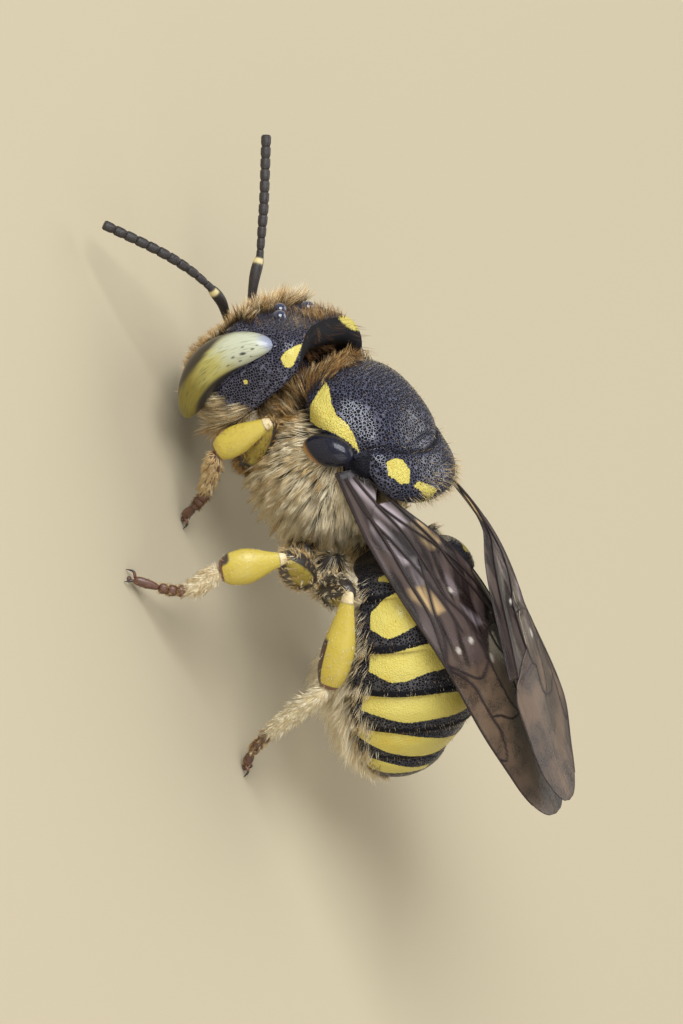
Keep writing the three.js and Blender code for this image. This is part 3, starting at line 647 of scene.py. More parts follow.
def bead_tree():
    """A path in, a string of beads along it out: narrow at the root of each bead, full at its end."""
    group, names, given = start_tree("feeler_beads", {
        "Path": ("Geometry", None), "Count": ("Int", BEADS), "Radius": ("Float", BEAD_RADIUS * MM),
        "Spacing": ("Float", 0.2 * MM), "Finish": ("Material", None)})
    line = node(group, "GeometryNodeResampleCurve", {"Curve": given["Path"], "Count": given["Count"]})
    bead = node(group, "GeometryNodeMeshCylinder", {"Vertices": 18, "Side Segments": 8, "Fill Segments": 2,
                                                    "Radius": 1.0, "Depth": 1.0})
    spot = node(group, "GeometryNodeInputPosition").outputs[0]
    parts = node(group, "ShaderNodeSeparateXYZ", {"Vector": spot}).outputs
    taper = between(group, parts["Z"], -0.5, -0.15, 0.78, 1.0)
    closing = between(group, parts["Z"], 0.36, 0.5, 1.0, 0.8)
    wide = sum_up(group, "MULTIPLY", taper, closing)
    moved = node(group, "ShaderNodeCombineXYZ", {"X": sum_up(group, "MULTIPLY", parts["X"], wide),
                                                 "Y": sum_up(group, "MULTIPLY", parts["Y"], wide),
                                                 "Z": parts["Z"]}).outputs[0]
    shaped = node(group, "GeometryNodeSetPosition", {"Geometry": bead.outputs["Mesh"], "Position": moved})
    swell = between(group, node(group, "GeometryNodeInputIndex").outputs[0], -1.0, 4.0, 0.72, 1.0)
    size = sum_up(group, "MULTIPLY", given["Radius"], swell)
    scale = node(group, "ShaderNodeCombineXYZ", {"X": size, "Y": size, "Z": given["Spacing"]}).outputs[0]
    tangent = node(group, "GeometryNodeInputTangent").outputs[0]
    turn = node(group, "FunctionNodeAlignRotationToVector", {"Vector": tangent}, axis="Z").outputs[0]
    placed = node(group, "GeometryNodeInstanceOnPoints", {
        "Points": line.outputs[0], "Instance": shaped.outputs[0], "Rotation": turn, "Scale": scale})
    end_tree(group, placed.outputs[0], given["Finish"])
    return group, names


def new_line(name, ways, radii=None):
    """A curve object of one open line for each way, its points in the bee's own mm."""
    data = bpy.data.curves.new(name, "CURVE")
    data.dimensions = "3D"
    for k, way in enumerate(ways):
        line = data.splines.new("POLY")
        line.points.add(len(way) - 1)
        placed = (np.array(way) + np.array([0, REAR, 0])) * MM
        line.points.foreach_set("co", np.c_[placed, np.ones(len(way))].astype(np.float32).ravel())
        if radii is not None:
            line.points.foreach_set("radius", np.asarray(radii[k], dtype=np.float32))
    return new_object(name, data)


def grown_mesh(name, source, grown, inputs):
    """Runs a node tree over an object and keeps what it makes as a plain mesh piece."""
    grower = source.modifiers.new("grow", "NODES")
    grower.node_group, names = grown
    for label, value in inputs.items():
        grower[names[label]] = value
    bpy.context.view_layer.update()
    seen = source.evaluated_get(bpy.context.evaluated_depsgraph_get())
    mesh = bpy.data.meshes.new_from_object(seen)
    source.modifiers.remove(grower)
    bpy.data.objects.remove(source)
    mesh.name = name
    return new_object(name, mesh)


beads = bead_tree()
for side, (scape_way, club_way) in FEELER_PATHS.items():
    scape, share, angle = limb(scape_way, lambda t: 0.09 + 0.06 * smooth(t, 0.0, 0.8), 1, 40, 32)
    spot = smooth(share, 0.8, 0.86) * (1 - smooth(share, 0.93, 0.97)) * smooth(np.cos(angle), -0.2, 0.4)
    shaft = closed_piece(f"feeler_shaft_{side}", scape, feeler_wall, {"pale": spot})
    fasten(shaft, "feeler", f"antenna_scape_{side}")
    way = curve_at(club_way, np.linspace(0.04, 0.985, 60))
    length = np.linalg.norm(np.diff(way, axis=0), axis=1).sum()
    string = grown_mesh(f"feeler_beads_{side}", new_line(f"feeler_path_{side}", [way]), beads, {
        "Count": BEADS, "Radius": BEAD_RADIUS * MM, "Spacing": 1.04 * length / (BEADS - 1) * MM,
        "Finish": feeler_wall})
    fasten(string, "feeler", f"antenna_club_{side}")

# ---- Abdomen ----
# Six rings of black body wall, each slipping under the one before, with lemon bands across their
# fronts and a coarsely pitted, then smooth dark rear. One skin makes them all.
STATIONS = [
    {"y": -0.78, "z": 4.45, "lean": 5, "width": 1.3, "up": 1.45, "down": 0.85},
    {"y": 0.0, "z": 4.35, "lean": 8, "width": 2.0, "up": 1.85, "down": 1.2},
    {"y": 1.25, "z": 4.1, "lean": 13, "width": 2.28, "up": 2.05, "down": 1.9},
    {"y": 2.3, "z": 3.75, "lean": 18, "width": 2.2, "up": 1.95, "down": 2.4},
    {"y": 3.2, "z": 3.35, "lean": 21, "width": 1.95, "up": 1.72, "down": 2.15},
    {"y": 3.95, "z": 2.95, "lean": 22, "width": 1.5, "up": 1.2, "down": 1.65},
]
TAIL_LENGTH = 0.8
TAIL_DROP = 0.35
BRUSH_DEPTH = 0.5         # the depth of the brush of hair under the belly
RING_LENGTH = 1.15        # a ring's mean length
# Each band's front and rear edges, in rings from the waist, at some angles from the top of the back.
BANDS = [
    {"angle": (14, 20, 40, 60, 80),
     "front": (0.34, 0.28, 0.2, 0.2, 0.35),
     "rear": (0.42, 0.52, 0.62, 0.62, 0.45)},
    {"angle": (9, 20, 40, 53, 64, 76, 88),
     "front": (1.2, 1.08, 0.92, 0.84, 0.82, 0.97, 1.24),
     "rear": (1.36, 1.44, 1.5, 1.53, 1.64, 1.74, 1.52)},
    {"angle": (5, 20, 38, 50, 65, 75, 90),
     "front": (2.14, 2.02, 1.93, 1.9, 1.95, 2.02, 2.02),
     "rear": (2.32, 2.4, 2.48, 2.5, 2.65, 2.66, 2.4)},
    {"angle": (0, 12, 26, 40, 60, 72, 96),
     "front": (3.22, 3.12, 3.07, 3.0, 2.99, 3.03, 3.0),
     "rear": (3.56, 3.64, 3.66, 3.65, 3.7, 3.64, 3.44)},
    {"angle": (0, 6, 25, 37, 52, 62, 75, 92, 102),
     "front": (4.47, 4.44, 4.35, 4.25, 4.16, 4.08, 4.03, 4.02, 3.95),
     "rear": (4.86, 4.94, 4.96, 4.93, 4.87, 4.8, 4.72, 4.5, 4.3)},
    {"angle": (16, 35, 53, 74, 94, 119),
     "front": (5.46, 5.46, 5.38, 5.2, 5.06, 5.22),
     "rear": (5.62, 5.62, 5.64, 5.66, 5.64, 5.46)},
]


def section_between(front, rear, share, ease):
    """An abdomen section between two stations: placed by share, and as broad as ease says."""
    keys = {"y": share, "z": share, "lean": share, "width": ease, "up": ease, "down": ease}
    return {key: mix(front[key], rear[key], how) for key, how in keys.items()}


def on_section(section, across, height):
    """A place on an abdomen section, from shares of its half width and of its height or depth."""
    lean = math.radians(section["lean"])
    rise = height * np.where(height > 0, section["up"], section["down"])
    y = section["y"] + rise * math.sin(lean)
    z = section["z"] + rise * math.cos(lean)
    return np.stack([across * section["width"], y + 0 * across, z], axis=-1)


ABDOMEN_COLUMNS = 240
belly_angle = np.linspace(0, 2 * np.pi, ABDOMEN_COLUMNS, endpoint=False)
from_top = np.degrees(np.minimum(belly_angle, 2 * np.pi - belly_angle))
brush = smooth(from_top, 100, 122)
waist_end, rows, ring_at = STATIONS[0], [], []
for fill in (0.0, 0.45, 0.85, 0.97):
    rows.append(on_section(waist_end, fill * np.sin(belly_angle), fill * np.cos(belly_angle)))
    ring_at.append(0.01 * fill)
shares = np.concatenate([np.linspace(0.0, 0.08, 5), np.linspace(0.12, 0.88, 17), np.linspace(0.91, 1.0, 7)])
for k in range(1, 6):
    for share in shares:
        ease = math.sin(share * math.pi / 2) ** 0.7 if k == 1 else share
        section = section_between(STATIONS[k - 1], STATIONS[k], share, ease)
        slip = 0.0 if k == 1 else 0.05 * (1 - smooth(share, 0, 0.5))
        swell = 1 - slip - 0.014 * smooth(share, 0.95, 1.0) + 0.012 * math.sin(math.pi * share)
        form = on_section(section, swell * np.sin(belly_angle), swell * np.cos(belly_angle))
        middle = on_section(section, np.zeros(1), np.full(1, 0.001))
        inward = BRUSH_DEPTH * brush * smooth(k + share, 1.0, 1.8)
        length = np.linalg.norm(form - middle, axis=-1)
        rows.append(middle + (form - middle) * (1 - inward / length)[:, None])
        ring_at.append(k - 1 + share)
tail = STATIONS[5]
for turn in np.linspace(0.02, np.pi / 2, 26):
    out, girth = math.sin(turn), math.cos(turn)
    form = on_section(tail, 0.95 * girth * np.sin(belly_angle), 0.95 * girth * np.cos(belly_angle))
    form += np.array([0, 0.03 + (TAIL_LENGTH - 0.05) * out ** 1.3, -TAIL_DROP * out * out])
    middle = form.mean(axis=0)
    rows.append(mix(form, middle, (0.25 * brush * girth)[:, None]))
    ring_at.append(5 + out)
abdomen_form = np.array(rows)
ring_at = np.repeat(np.array(ring_at)[:, None], ABDOMEN_COLUMNS, 1)
turned = np.repeat(from_top[None], len(rows), 0)
bands = np.full(ring_at.shape, -1.0)
every_angle = np.linspace(0, 180, 361)
SOFTEN = np.hanning(23)[1:-1] / np.hanning(23).sum()     # rounds a band's edge where its angles meet
for band in BANDS:
    edges = []
    for key in ("front", "rear"):
        edge = np.interp(every_angle, band["angle"], band[key])
        edge = np.convolve(np.pad(edge, 10, mode="edge"), SOFTEN, mode="valid")
        edges.append(np.interp(turned, every_angle, edge))
    front, rear = edges
    past = np.maximum(band["angle"][0] * (band["angle"][0] > 0) - turned, turned - band["angle"][-1]) * 0.035
    lengthwise = np.minimum(ring_at - front, rear - ring_at) * RING_LENGTH
    bands = np.maximum(bands, np.where(past > 0, -np.hypot(np.minimum(lengthwise, 0), past), lengthwise))
    bands = np.where((past > -0.12) & (lengthwise > 0) & (past <= 0), np.minimum(bands, -past + 0.02), bands)
part_way = ring_at - np.floor(ring_at)
rim = smooth(part_way, 0.8, 0.9) * (ring_at < 4.99)
# The abdomen's ridges carry a fainter, greyer painted sheen.
abdomen_wall = wall_finish("abdomen_wall", pit=0.07, depth=0.03, ridge=(0.045, 0.042, 0.05, 1), gloss=0.3)
abdomen = closed_piece("abdomen_skin", abdomen_form, abdomen_wall,
                       {"yellow": bands, "pitted": 1.0 - 0.9 * rim})
fasten(abdomen, "banded", *[f"abdomen_{k}" for k in range(1, 7)])

# ---- Legs ----
# Six legs of black body wall: hip, thigh, a lemon shin, and a foot of a long first joint, four short
# ones and two claws. Each leg's joints run from the hip to the tip of the foot.
LEGS = {
    "fore": {"hip": (0.75, -4.15, 2.1), "turn": (1.15, -3.85, 1.7), "knee": (2.0, -4.9, 3.3),
             "ankle": (2.3, -4.52, 1.72), "instep": (2.12, -3.52, 0.92), "foot": (1.9, -3.06, 0.02),
             "thigh": 0.35, "shin": 0.37, "stride": -0.35},
    "mid": {"hip": (0.95, -1.75, 2.6), "turn": (1.5, -0.75, 2.55), "knee": (3.5, -1.75, 3.36),
            "ankle": (4.4, -1.95, 1.95), "instep": (4.8, -1.75, 1.0), "foot": (5.46, -2.48, 0.02),
            "thigh": 0.48, "shin": 0.45, "stride": 0.45},
    "hind": {"hip": (0.95, -1.2, 3.3), "turn": (1.25, -0.35, 2.85), "knee": (2.75, -0.47, 4.34),
             "ankle": (3.0, 1.72, 3.1), "instep": (2.9, 2.6, 0.95), "foot": (2.71, 3.26, 0.02),
             "thigh": 0.42, "shin": 0.43, "stride": -0.3},
}
STRIDE_SHARE = {"hip": 0, "turn": 0, "knee": 0.15, "ankle": 0.5, "instep": 0.85, "foot": 1}
KNEE_CAP = 0.14           # how much of a shin its cream knee cap takes
SHIN_BOW = {"fore": (0.02, -0.03, 0), "mid": (0.05, 0, 0.06), "hind": (0.02, 0, 0.08)}
# Where each foot joint starts and stops along the foot, and its half width at either end.
FOOT_JOINTS = [(0.0, 0.46, 0.22, 0.18), (0.45, 0.55, 0.15, 0.16), (0.55, 0.64, 0.14, 0.15),
               (0.64, 0.72, 0.13, 0.14), (0.72, 0.94, 0.1, 0.14)]


def leg_finish(name):
    """Body wall of a leg: black, lemon where `yellow` is high, red-brown where `brown` is."""
    finish, tree, shader = new_finish(name)
    grain, cloud = noise(tree, own_place(tree), 0.07 * MM, 4), noise(tree, own_place(tree), 0.4 * MM, 2)
    black = blend(tree, grain, (0.012, 0.011, 0.012, 1), (0.045, 0.035, 0.03, 1))
    rust = blend(tree, grain, (0.075, 0.025, 0.014, 1), (0.22, 0.09, 0.045, 1))
    lemon = blend(tree, cloud, (0.52, 0.42, 0.07, 1), (0.44, 0.32, 0.035, 1))
    cream = blend(tree, grain, (0.55, 0.42, 0.22, 1), (0.75, 0.66, 0.42, 1))
    ragged = sum_up(tree, "MULTIPLY_ADD", grain, 0.2, -0.1)
    colour = black
    for key, tint in (("brown", rust), ("yellow", lemon), ("cream", cream)):
        share = between(tree, sum_up(tree, "ADD", stored(tree, key), ragged), 0.3, 0.8)
        colour = blend(tree, share, colour, tint)
    feed(shader, {"Base Color": colour, "Normal": relief(tree, grain, 0.014), "Roughness": 0.42,
                  "Coat Weight": 0.2, "Coat Roughness": 0.3})
    return finish


leg_wall = leg_finish("leg_wall")


def leg_joints(leg, side):
    """The joints of one leg; a right leg is the mirror of the left with its foot set further along."""
    joints = {}
    for key, share in STRIDE_SHARE.items():
        x, y, z = leg[key]
        joints[key] = (x, y, z) if side > 0 else (-x, y + leg["stride"] * share, z)
    return joints


def leg_parts(pair, leg, joints):
    """Each part of a leg: its grid, and its brown, yellow and cream shares."""
    parts = []
    hip, hinge, knee, ankle, instep, foot = (np.array(joints[key]) for key in STRIDE_SHARE)
    thigh, shin = leg["thigh"], leg["shin"]

    def add(grid, share, brown=0.0, yellow=0.0, cream=0.0):
        zero = np.zeros(share.shape)
        parts.append((grid, {"brown": brown + zero, "yellow": yellow + zero, "cream": cream + zero}))

    def thigh_breadth(t):
        return thigh * (0.6 + 0.4 * math.sin(math.pi * min(1.0, t * 0.95 + 0.05)) ** 0.8)

    def shin_breadth(t):
        return mix(0.2, shin, smooth(t, 0.02, 0.62)) * (1 - 0.12 * smooth(t, 0.8, 1.0))

    grid, share, angle = limb([hip, hinge], lambda t: mix(0.4, 0.3, t), 0.9, 28, 28)
    add(grid, share, brown=0.2)
    bend = mix(hinge, knee, 0.5) + np.array([0, 0, 0.06])
    grid, share, angle = limb([hinge, bend, knee], thigh_breadth, 0.82, 48, 36)
    if pair == "fore":
        stripe = smooth(share, 0.1, 0.3) * smooth(np.cos(angle), 0.2, 0.7)
    else:
        stripe = smooth(share, 0.35, 0.55) * smooth(np.cos(angle - 0.9), 0.6, 0.85)
    add(grid, share, yellow=stripe * 0.62, brown=0.3 * stripe)
    middle = mix(knee, ankle, 0.55) + np.array(SHIN_BOW[pair])
    grid, share, angle = limb([knee, middle, ankle], shin_breadth, 0.66, 64, 48)
    outside = 0.41 * math.copysign(1, hip[0]) * np.cos(angle) + 0.91 * np.sin(angle)
    cap = 1 - smooth(share, KNEE_CAP * 0.5, KNEE_CAP)
    streak = {"fore": 0 * share,
              "mid": smooth(share, 0.74, 0.9) * smooth(np.sin(angle), 0.2, 0.8),
              "hind": smooth(share, 0.4, 0.55) * smooth(outside, 0.8, 0.9)}[pair]
    end = smooth(share, 0.93, 0.97)
    add(grid, share, brown=np.maximum(0.9 * end, streak * 0.5), cream=cap,
        yellow=(1 - cap) * (1 - end) * (1 - streak))
    way = [ankle, instep, foot]
    for start, stop, first, last in FOOT_JOINTS:
        spread = curve_at(way, np.linspace(start, stop, 4))
        grid, share, angle = limb(list(spread), lambda t: mix(first, last, t), 0.85, 24, 24, 0.5)
        add(grid, share, brown=0.6 if pair != "hind" else 0.55,
            cream=0.75 if start == 0 and pair != "fore" else 0.0)
    tip = curve_at(way, np.array([0.93, 1.0]))
    flat_out = unit(unit(tip[1] - tip[0]) * np.array([1, 1, 0.0]) + 1e-6)
    aside = np.array([-flat_out[1], flat_out[0], 0])
    for way_out in (1, -1):
        root = tip[0] + aside * way_out * 0.04
        knuckle = root + flat_out * 0.16 + aside * way_out * 0.1 + np.array([0, 0, 0.03])
        point = np.array([*(root + flat_out * 0.26 + aside * way_out * 0.15)[:2], 0.012])
        grid, share, angle = limb([root, knuckle, point], lambda t: 0.045 * (1 - t) ** 0.7 + 0.006,
                                  1.0, 20, 12, 0.5)
        add(grid, share, brown=0.75 * (1 - smooth(share, 0.4, 0.6)))
    pad_at = np.array([*(tip[0] + flat_out * 0.1)[:2], 0.05])
    pad = directions(14, 18, 2) * np.array([0.07, 0.07, 0.05]) + pad_at
    add(pad, np.zeros(pad.shape[:2]), brown=0.6)
    return parts


leg_skins = {}
for pair, leg in LEGS.items():
    for side, name in SIDES:
        parts = leg_parts(pair, leg, leg_joints(leg, side))
        leg_skins[f"{pair}_{name}"] = parts
        points, faces = join_forms([grid for grid, values in parts])
        values = {key: np.concatenate([rows_to_points(value[key]) for grid, value in parts])
                  for key in ("brown", "yellow", "cream")}
        piece = new_piece(f"leg_{pair}_{name}", points, faces, leg_wall, values)
        fasten(piece, "yellow", *[f"{part}_{pair}_{name}" for part in ("coxa", "femur", "tibia", "tarsus")])

# ---- Wings ----
# Two pairs of thin smoky wings laid back over the abdomen, the right pair on top. Each membrane is
# stiffened by raised brown veins, pleated between them near its root and coppery outside.
LEFT_WING = [
    {"y": -3.3, "x": 2.12, "z": 4.62, "ridge": 5.6, "rear": 1.72},
    {"y": -1.5, "x": 2.1, "z": 4.86, "ridge": 6.4, "rear": 1.12},
    {"y": 0.0, "x": 2.08, "z": 5.25, "ridge": 6.6, "rear": 0.35},
    {"y": 2.0, "x": 2.02, "z": 5.86, "ridge": 6.52, "rear": -0.8},
    {"y": 4.0, "x": 1.62, "z": 6.12, "ridge": 6.52, "rear": -1.2},
    {"y": 5.4, "x": 1.24, "z": 6.36, "ridge": 6.5, "rear": -1.02},
    {"y": 6.58, "x": 0.98, "z": 6.56, "ridge": 6.6, "rear": -0.88},
]
RIGHT_WING = [
    {"y": -3.3, "x": 2.12, "z": 4.62, "ridge": 5.6, "rear": 1.72},
    {"y": -1.5, "x": 2.45, "z": 5.4, "ridge": 6.72, "rear": 0.55},
    {"y": 0.0, "x": 2.6, "z": 5.85, "ridge": 7.2, "rear": -0.55},
    {"y": 2.0, "x": 2.45, "z": 6.25, "ridge": 7.22, "rear": -0.88},
    {"y": 4.0, "x": 1.8, "z": 6.84, "ridge": 7.14, "rear": -1.1},
    {"y": 5.3, "x": 0.98, "z": 7.02, "ridge": 7.08, "rear": -1.0},
    {"y": 6.3, "x": 0.55, "z": 7.12, "ridge": 7.12, "rear": -0.85},
]
ARCH = {"left": 2.2, "right": 1.4}
HINDWING = {"start": -2.9, "end": 3.6, "width": 0.95, "taper": 1.6}
TIP_ROUND = 1.25          # how long the rounded end of a front wing is
FILM = 0.024              # the thickness of a membrane
SEAM_LAP = 0.06           # how far a hind wing reaches under the front wing, and how far below it lies
HIND_DROP = 0.03
PLEAT_DEPTH = 0.05
VEIN_STEP = 0.06          # the length of a vein's mesh faces

# The veins of the left front wing: places across and along it, and how thick each vein is.
VEINS = {
    "radius": (0.06, [(1.99, -3.09), (1.91, -2.1), (1.86, -1.27), (1.84, -0.25), (1.81, 0.78), (1.95, 1.82),
                      (2.0, 2.2)]),
    "second": (0.045, [(2.0, -3.0), (1.93, -2.07), (1.77, -1.26), (1.55, 0.05), (1.3, 1.39)]),
    "media": (0.045, [(1.85, -3.07), (1.73, -2.36), (1.56, -1.46), (1.49, -0.76), (1.52, -0.67)]),
    "basal": (0.035, [(1.52, -0.67), (1.61, 0.09), (1.71, 0.78), (1.75, 1.31), (1.92, 1.88)]),
    "cubital": (0.035, [(1.49, -0.76), (1.44, -0.23), (1.36, 0.45), (1.13, 0.99), (0.82, 1.72),
                        (0.83, 2.24)]),
    "anal": (0.045, [(1.63, -3.02), (1.42, -2.15), (1.23, -1.39), (1.07, -0.85), (0.87, -0.07), (0.3, 0.94),
                     (0.03, 1.3)]),
    "marginal": (0.038, [(1.92, 2.15), (1.5, 2.73), (1.29, 3.48), (1.12, 4.08), (1.12, 4.53), (1.23, 4.79),
                         (1.42, 4.7)]),
    "medial": (0.03, [(1.04, 1.1), (0.92, 1.72), (0.76, 2.31), (0.59, 3.0), (0.37, 3.61), (0.09, 3.91)]),
    "outer_cell": (0.03, [(-0.06, 1.58), (-0.22, 2.24), (-0.2, 2.92), (-0.04, 3.05), (-0.07, 3.56),
                          (0.08, 3.83), (0.55, 3.92), (0.95, 3.71), (1.2, 3.65)]),
    "cross": (0.028, [(1.92, 2.06), (1.24, 2.64), (0.76, 2.31)]),
    "hind_cross": (0.028, [(0.03, 1.3), (-0.06, 1.58)]),
    "short_cross": (0.026, [(0.82, 1.72), (0.3, 1.55), (-0.06, 1.58)]),
    "outer": (0.022, [(-0.2, 2.92), (-0.5, 3.07), (-0.68, 3.16)]),
}
STIGMA = (2.0, 2.12)
# Painted highlights on the left wing: places across and along it, and their size.
GLINTS = [(1.16, 0.33, 0.09), (1.11, 1.68, 0.1), (1.52, 1.79, 0.1), (0.58, 2.32, 0.14), (0.05, 1.25, 0.08)]

# Pale patches between the veins of the left wing, each an outline across and along it: how pale it
# is, and whether it is clear and golden, or lilac-grey, a painted reflection on the membrane.
PATCHES = [
    (1.0, "lilac_sheen", [(1.9, -3.1), (1.76, -2.84), (1.61, -2.44), (1.48, -1.98), (1.39, -1.6), (1.56, -1.49),
                    (1.67, -1.82), (1.8, -2.34), (1.9, -2.72), (1.98, -3.0)]),
    (1.0, "lilac_sheen", [(1.9, -1.96), (1.81, -1.83), (1.74, -1.4), (1.7, -0.97), (1.67, -0.63), (1.78, -0.64),
                    (1.85, -0.95), (1.9, -1.37), (1.93, -1.71)]),
    (0.8, "golden", [(1.33, -1.54), (1.15, -1.57), (1.03, -1.21), (0.96, -0.88), (1.18, -0.76),
                     (1.29, -1.03)]),
    (1.0, "golden", [(1.88, -0.03), (1.67, 0.0), (1.55, 0.35), (1.5, 0.72), (1.69, 0.77), (1.81, 0.46),
                     (1.89, 0.2)]),
    (0.8, "lilac_sheen", [(1.66, -0.74), (1.55, -0.72), (1.56, -0.43), (1.62, -0.03), (1.7, -0.06), (1.69, -0.42)]),
    (0.35, "lilac_sheen", [(1.12, -0.07), (1.01, 0.21), (0.92, 0.49), (1.13, 0.46), (1.19, 0.19)]),
    (0.5, "lilac_sheen", [(1.06, 0.75), (0.79, 1.06), (0.52, 1.41), (0.79, 1.42), (1.0, 1.09)]),
]


def wing_line(stations, key, y):
    """One measure of a wing along y, smoothly through its stations."""
    at = np.array([row["y"] for row in stations], dtype=float)
    value = np.array([row[key] for row in stations], dtype=float)
    near = np.clip(np.arange(len(at))[:, None] + np.array([-1, 1]), 0, len(at) - 1)
    slope = (value[near[:, 1]] - value[near[:, 0]]) / (at[near[:, 1]] - at[near[:, 0]])
    y = np.asarray(y, dtype=float)
    k = np.clip(np.searchsorted(at, y, side="right") - 1, 0, len(at) - 2)
    span = at[k + 1] - at[k]
    t = (y - at[k]) / span
    return ((2 * t ** 3 - 3 * t ** 2 + 1) * value[k] + (t ** 3 - 2 * t ** 2 + t) * span * slope[k]
            + (3 * t ** 2 - 2 * t ** 3) * value[k + 1] + (t ** 3 - t ** 2) * span * slope[k + 1])


def wing_height(stations, arch, x, y):
    edge, low = wing_line(stations, "x", y), wing_line(stations, "z", y)
    return low + (wing_line(stations, "ridge", y) - low) * (1 - np.abs(x / edge) ** arch)


def seam_share(y):
    """How far the hind wing is spread behind the front wing, from 0 to 1 along y."""
    start = smooth(y, HINDWING["start"], HINDWING["start"] + HINDWING["taper"])
    return start * (1 - smooth(y, HINDWING["end"] - HINDWING["taper"], HINDWING["end"]))


def wing_seam(stations, y):
    """Where the front wing's rear edge meets the hind wing."""
    return wing_line(stations, "rear", y) + HINDWING["width"] * seam_share(y)


def to_other_wing(stations, way):
    """The same places on another wing, kept at their share across and along it."""
    way = np.array(way, dtype=float)
    front, rear = wing_line(LEFT_WING, "x", way[:, 1]), wing_line(LEFT_WING, "rear", way[:, 1])
    share = (front - way[:, 0]) / (front - rear)
    first, last, new_last = LEFT_WING[0]["y"], LEFT_WING[-1]["y"], stations[-1]["y"]
    y = first + (way[:, 1] - first) * (new_last - first) / (last - first)
    front, rear = wing_line(stations, "x", y), wing_line(stations, "rear", y)
    return np.stack([front - share * (front - rear), y], axis=-1)


def away_from_lines(x, y, ways):
    """The distance in mm from each place to the nearest of some lines."""
    nearest = np.full(x.shape, 9.0)
    for way in ways:
        for a, b in zip(way[:-1], way[1:]):
            nearest = np.minimum(nearest, from_segment(x, y, a, b))
    return nearest


def wing_finish(name):
    """Smoky membrane: dark, with pale streaks of painted sheen between the pleats near the root, patches of
    painted lilac reflection and clear golden ones, painted glints, and coppery outside.
    """
    finish, tree, shader = new_finish(name)
    place = own_place(tree)
    grain, cloud = noise(tree, place, 0.035 * MM, 2), noise(tree, place, 0.8 * MM, 3)
    streak = noise(tree, stretch(tree, place, (5200, 420, 2600)), 1, 2)
    unpleated, outer, golden, dark = (stored(tree, key) for key in ("open", "outer", "golden", "dark"))
    pleat_sheen = sum_up(tree, "MULTIPLY", unpleated, between(tree, streak, 0.48, 0.62))
    copper = blend(tree, between(tree, cloud, 0.4, 0.62), (0.03, 0.018, 0.012, 1), (0.115, 0.07, 0.042, 1))
    copper = blend(tree, between(tree, grain, 0.4, 0.75, 0.0, 0.5), copper, (0.17, 0.11, 0.066, 1))
    ragged = between(tree, streak, 0.34, 0.56, 0.35, 1.0)
    colour = blend(tree, between(tree, streak, 0.44, 0.62), (0.012, 0.006, 0.005, 1), (0.075, 0.05, 0.042, 1))
    # Painted light on the membrane: the pale pleat streaks are painted sheen, the lilac patches painted
    # reflection, the glint spots painted highlights.
    for share, tint in (
            (pleat_sheen, (0.12, 0.085, 0.08, 1)),
            (outer, copper),
            (sum_up(tree, "MULTIPLY", stored(tree, "lilac_sheen"), ragged), (0.4, 0.33, 0.35, 1)),
            (sum_up(tree, "MULTIPLY", golden, ragged), (0.6, 0.41, 0.2, 1)),
            (dark, (0.014, 0.009, 0.01, 1)),
            (stored(tree, "glint"), (0.6, 0.55, 0.48, 1))):
        colour = blend(tree, share, colour, tint)
    cover = between(tree, unpleated, 0, 1, 0.88, 0.62)
    cover = between(tree, outer, 0, 1, cover, 0.82)
    cover = between(tree, golden, 0, 1, cover, 0.55)
    feed(shader, {"Base Color": colour, "Alpha": sum_up(tree, "MAXIMUM", cover, dark),
                  "Normal": relief(tree, streak, 0.035, 0.8, under=relief(tree, grain, 0.007)),
                  "Roughness": 0.38, "Specular IOR Level": 0.35})
    return finish


membrane = wing_finish("wing_membrane")
vein_wall, tree, shader = new_finish("vein_wall")
grain = noise(tree, own_place(tree), 0.06 * MM, 3)
feed(shader, {"Base Color": blend(tree, grain, (0.008, 0.004, 0.004, 1), (0.035, 0.02, 0.016, 1)),
              "Roughness": 0.45, "Specular IOR Level": 0.3})


def vein_tree():
    """Lines in, round tubes out, each as thick as its line's radius."""
    group, names, given = start_tree("wing_veins", {
        "Lines": ("Geometry", None), "Step": ("Float", VEIN_STEP * MM), "Finish": ("Material", None)})
    line = node(group, "GeometryNodeResampleCurve", {"Curve": given["Lines"], "Length": given["Step"]},
                mode="LENGTH")
    ring = node(group, "GeometryNodeCurvePrimitiveCircle", {"Resolution": 8, "Radius": 1.0})
    tube = node(group, "GeometryNodeCurveToMesh", {"Curve": line.outputs[0], "Profile Curve": ring.outputs[0],
                                                   "Fill Caps": True})
    if "Scale" in tube.inputs:
        feed(tube, {"Scale": node(group, "GeometryNodeInputRadius").outputs[0]})
    end_tree(group, tube.outputs[0], given["Finish"])
    return group, names


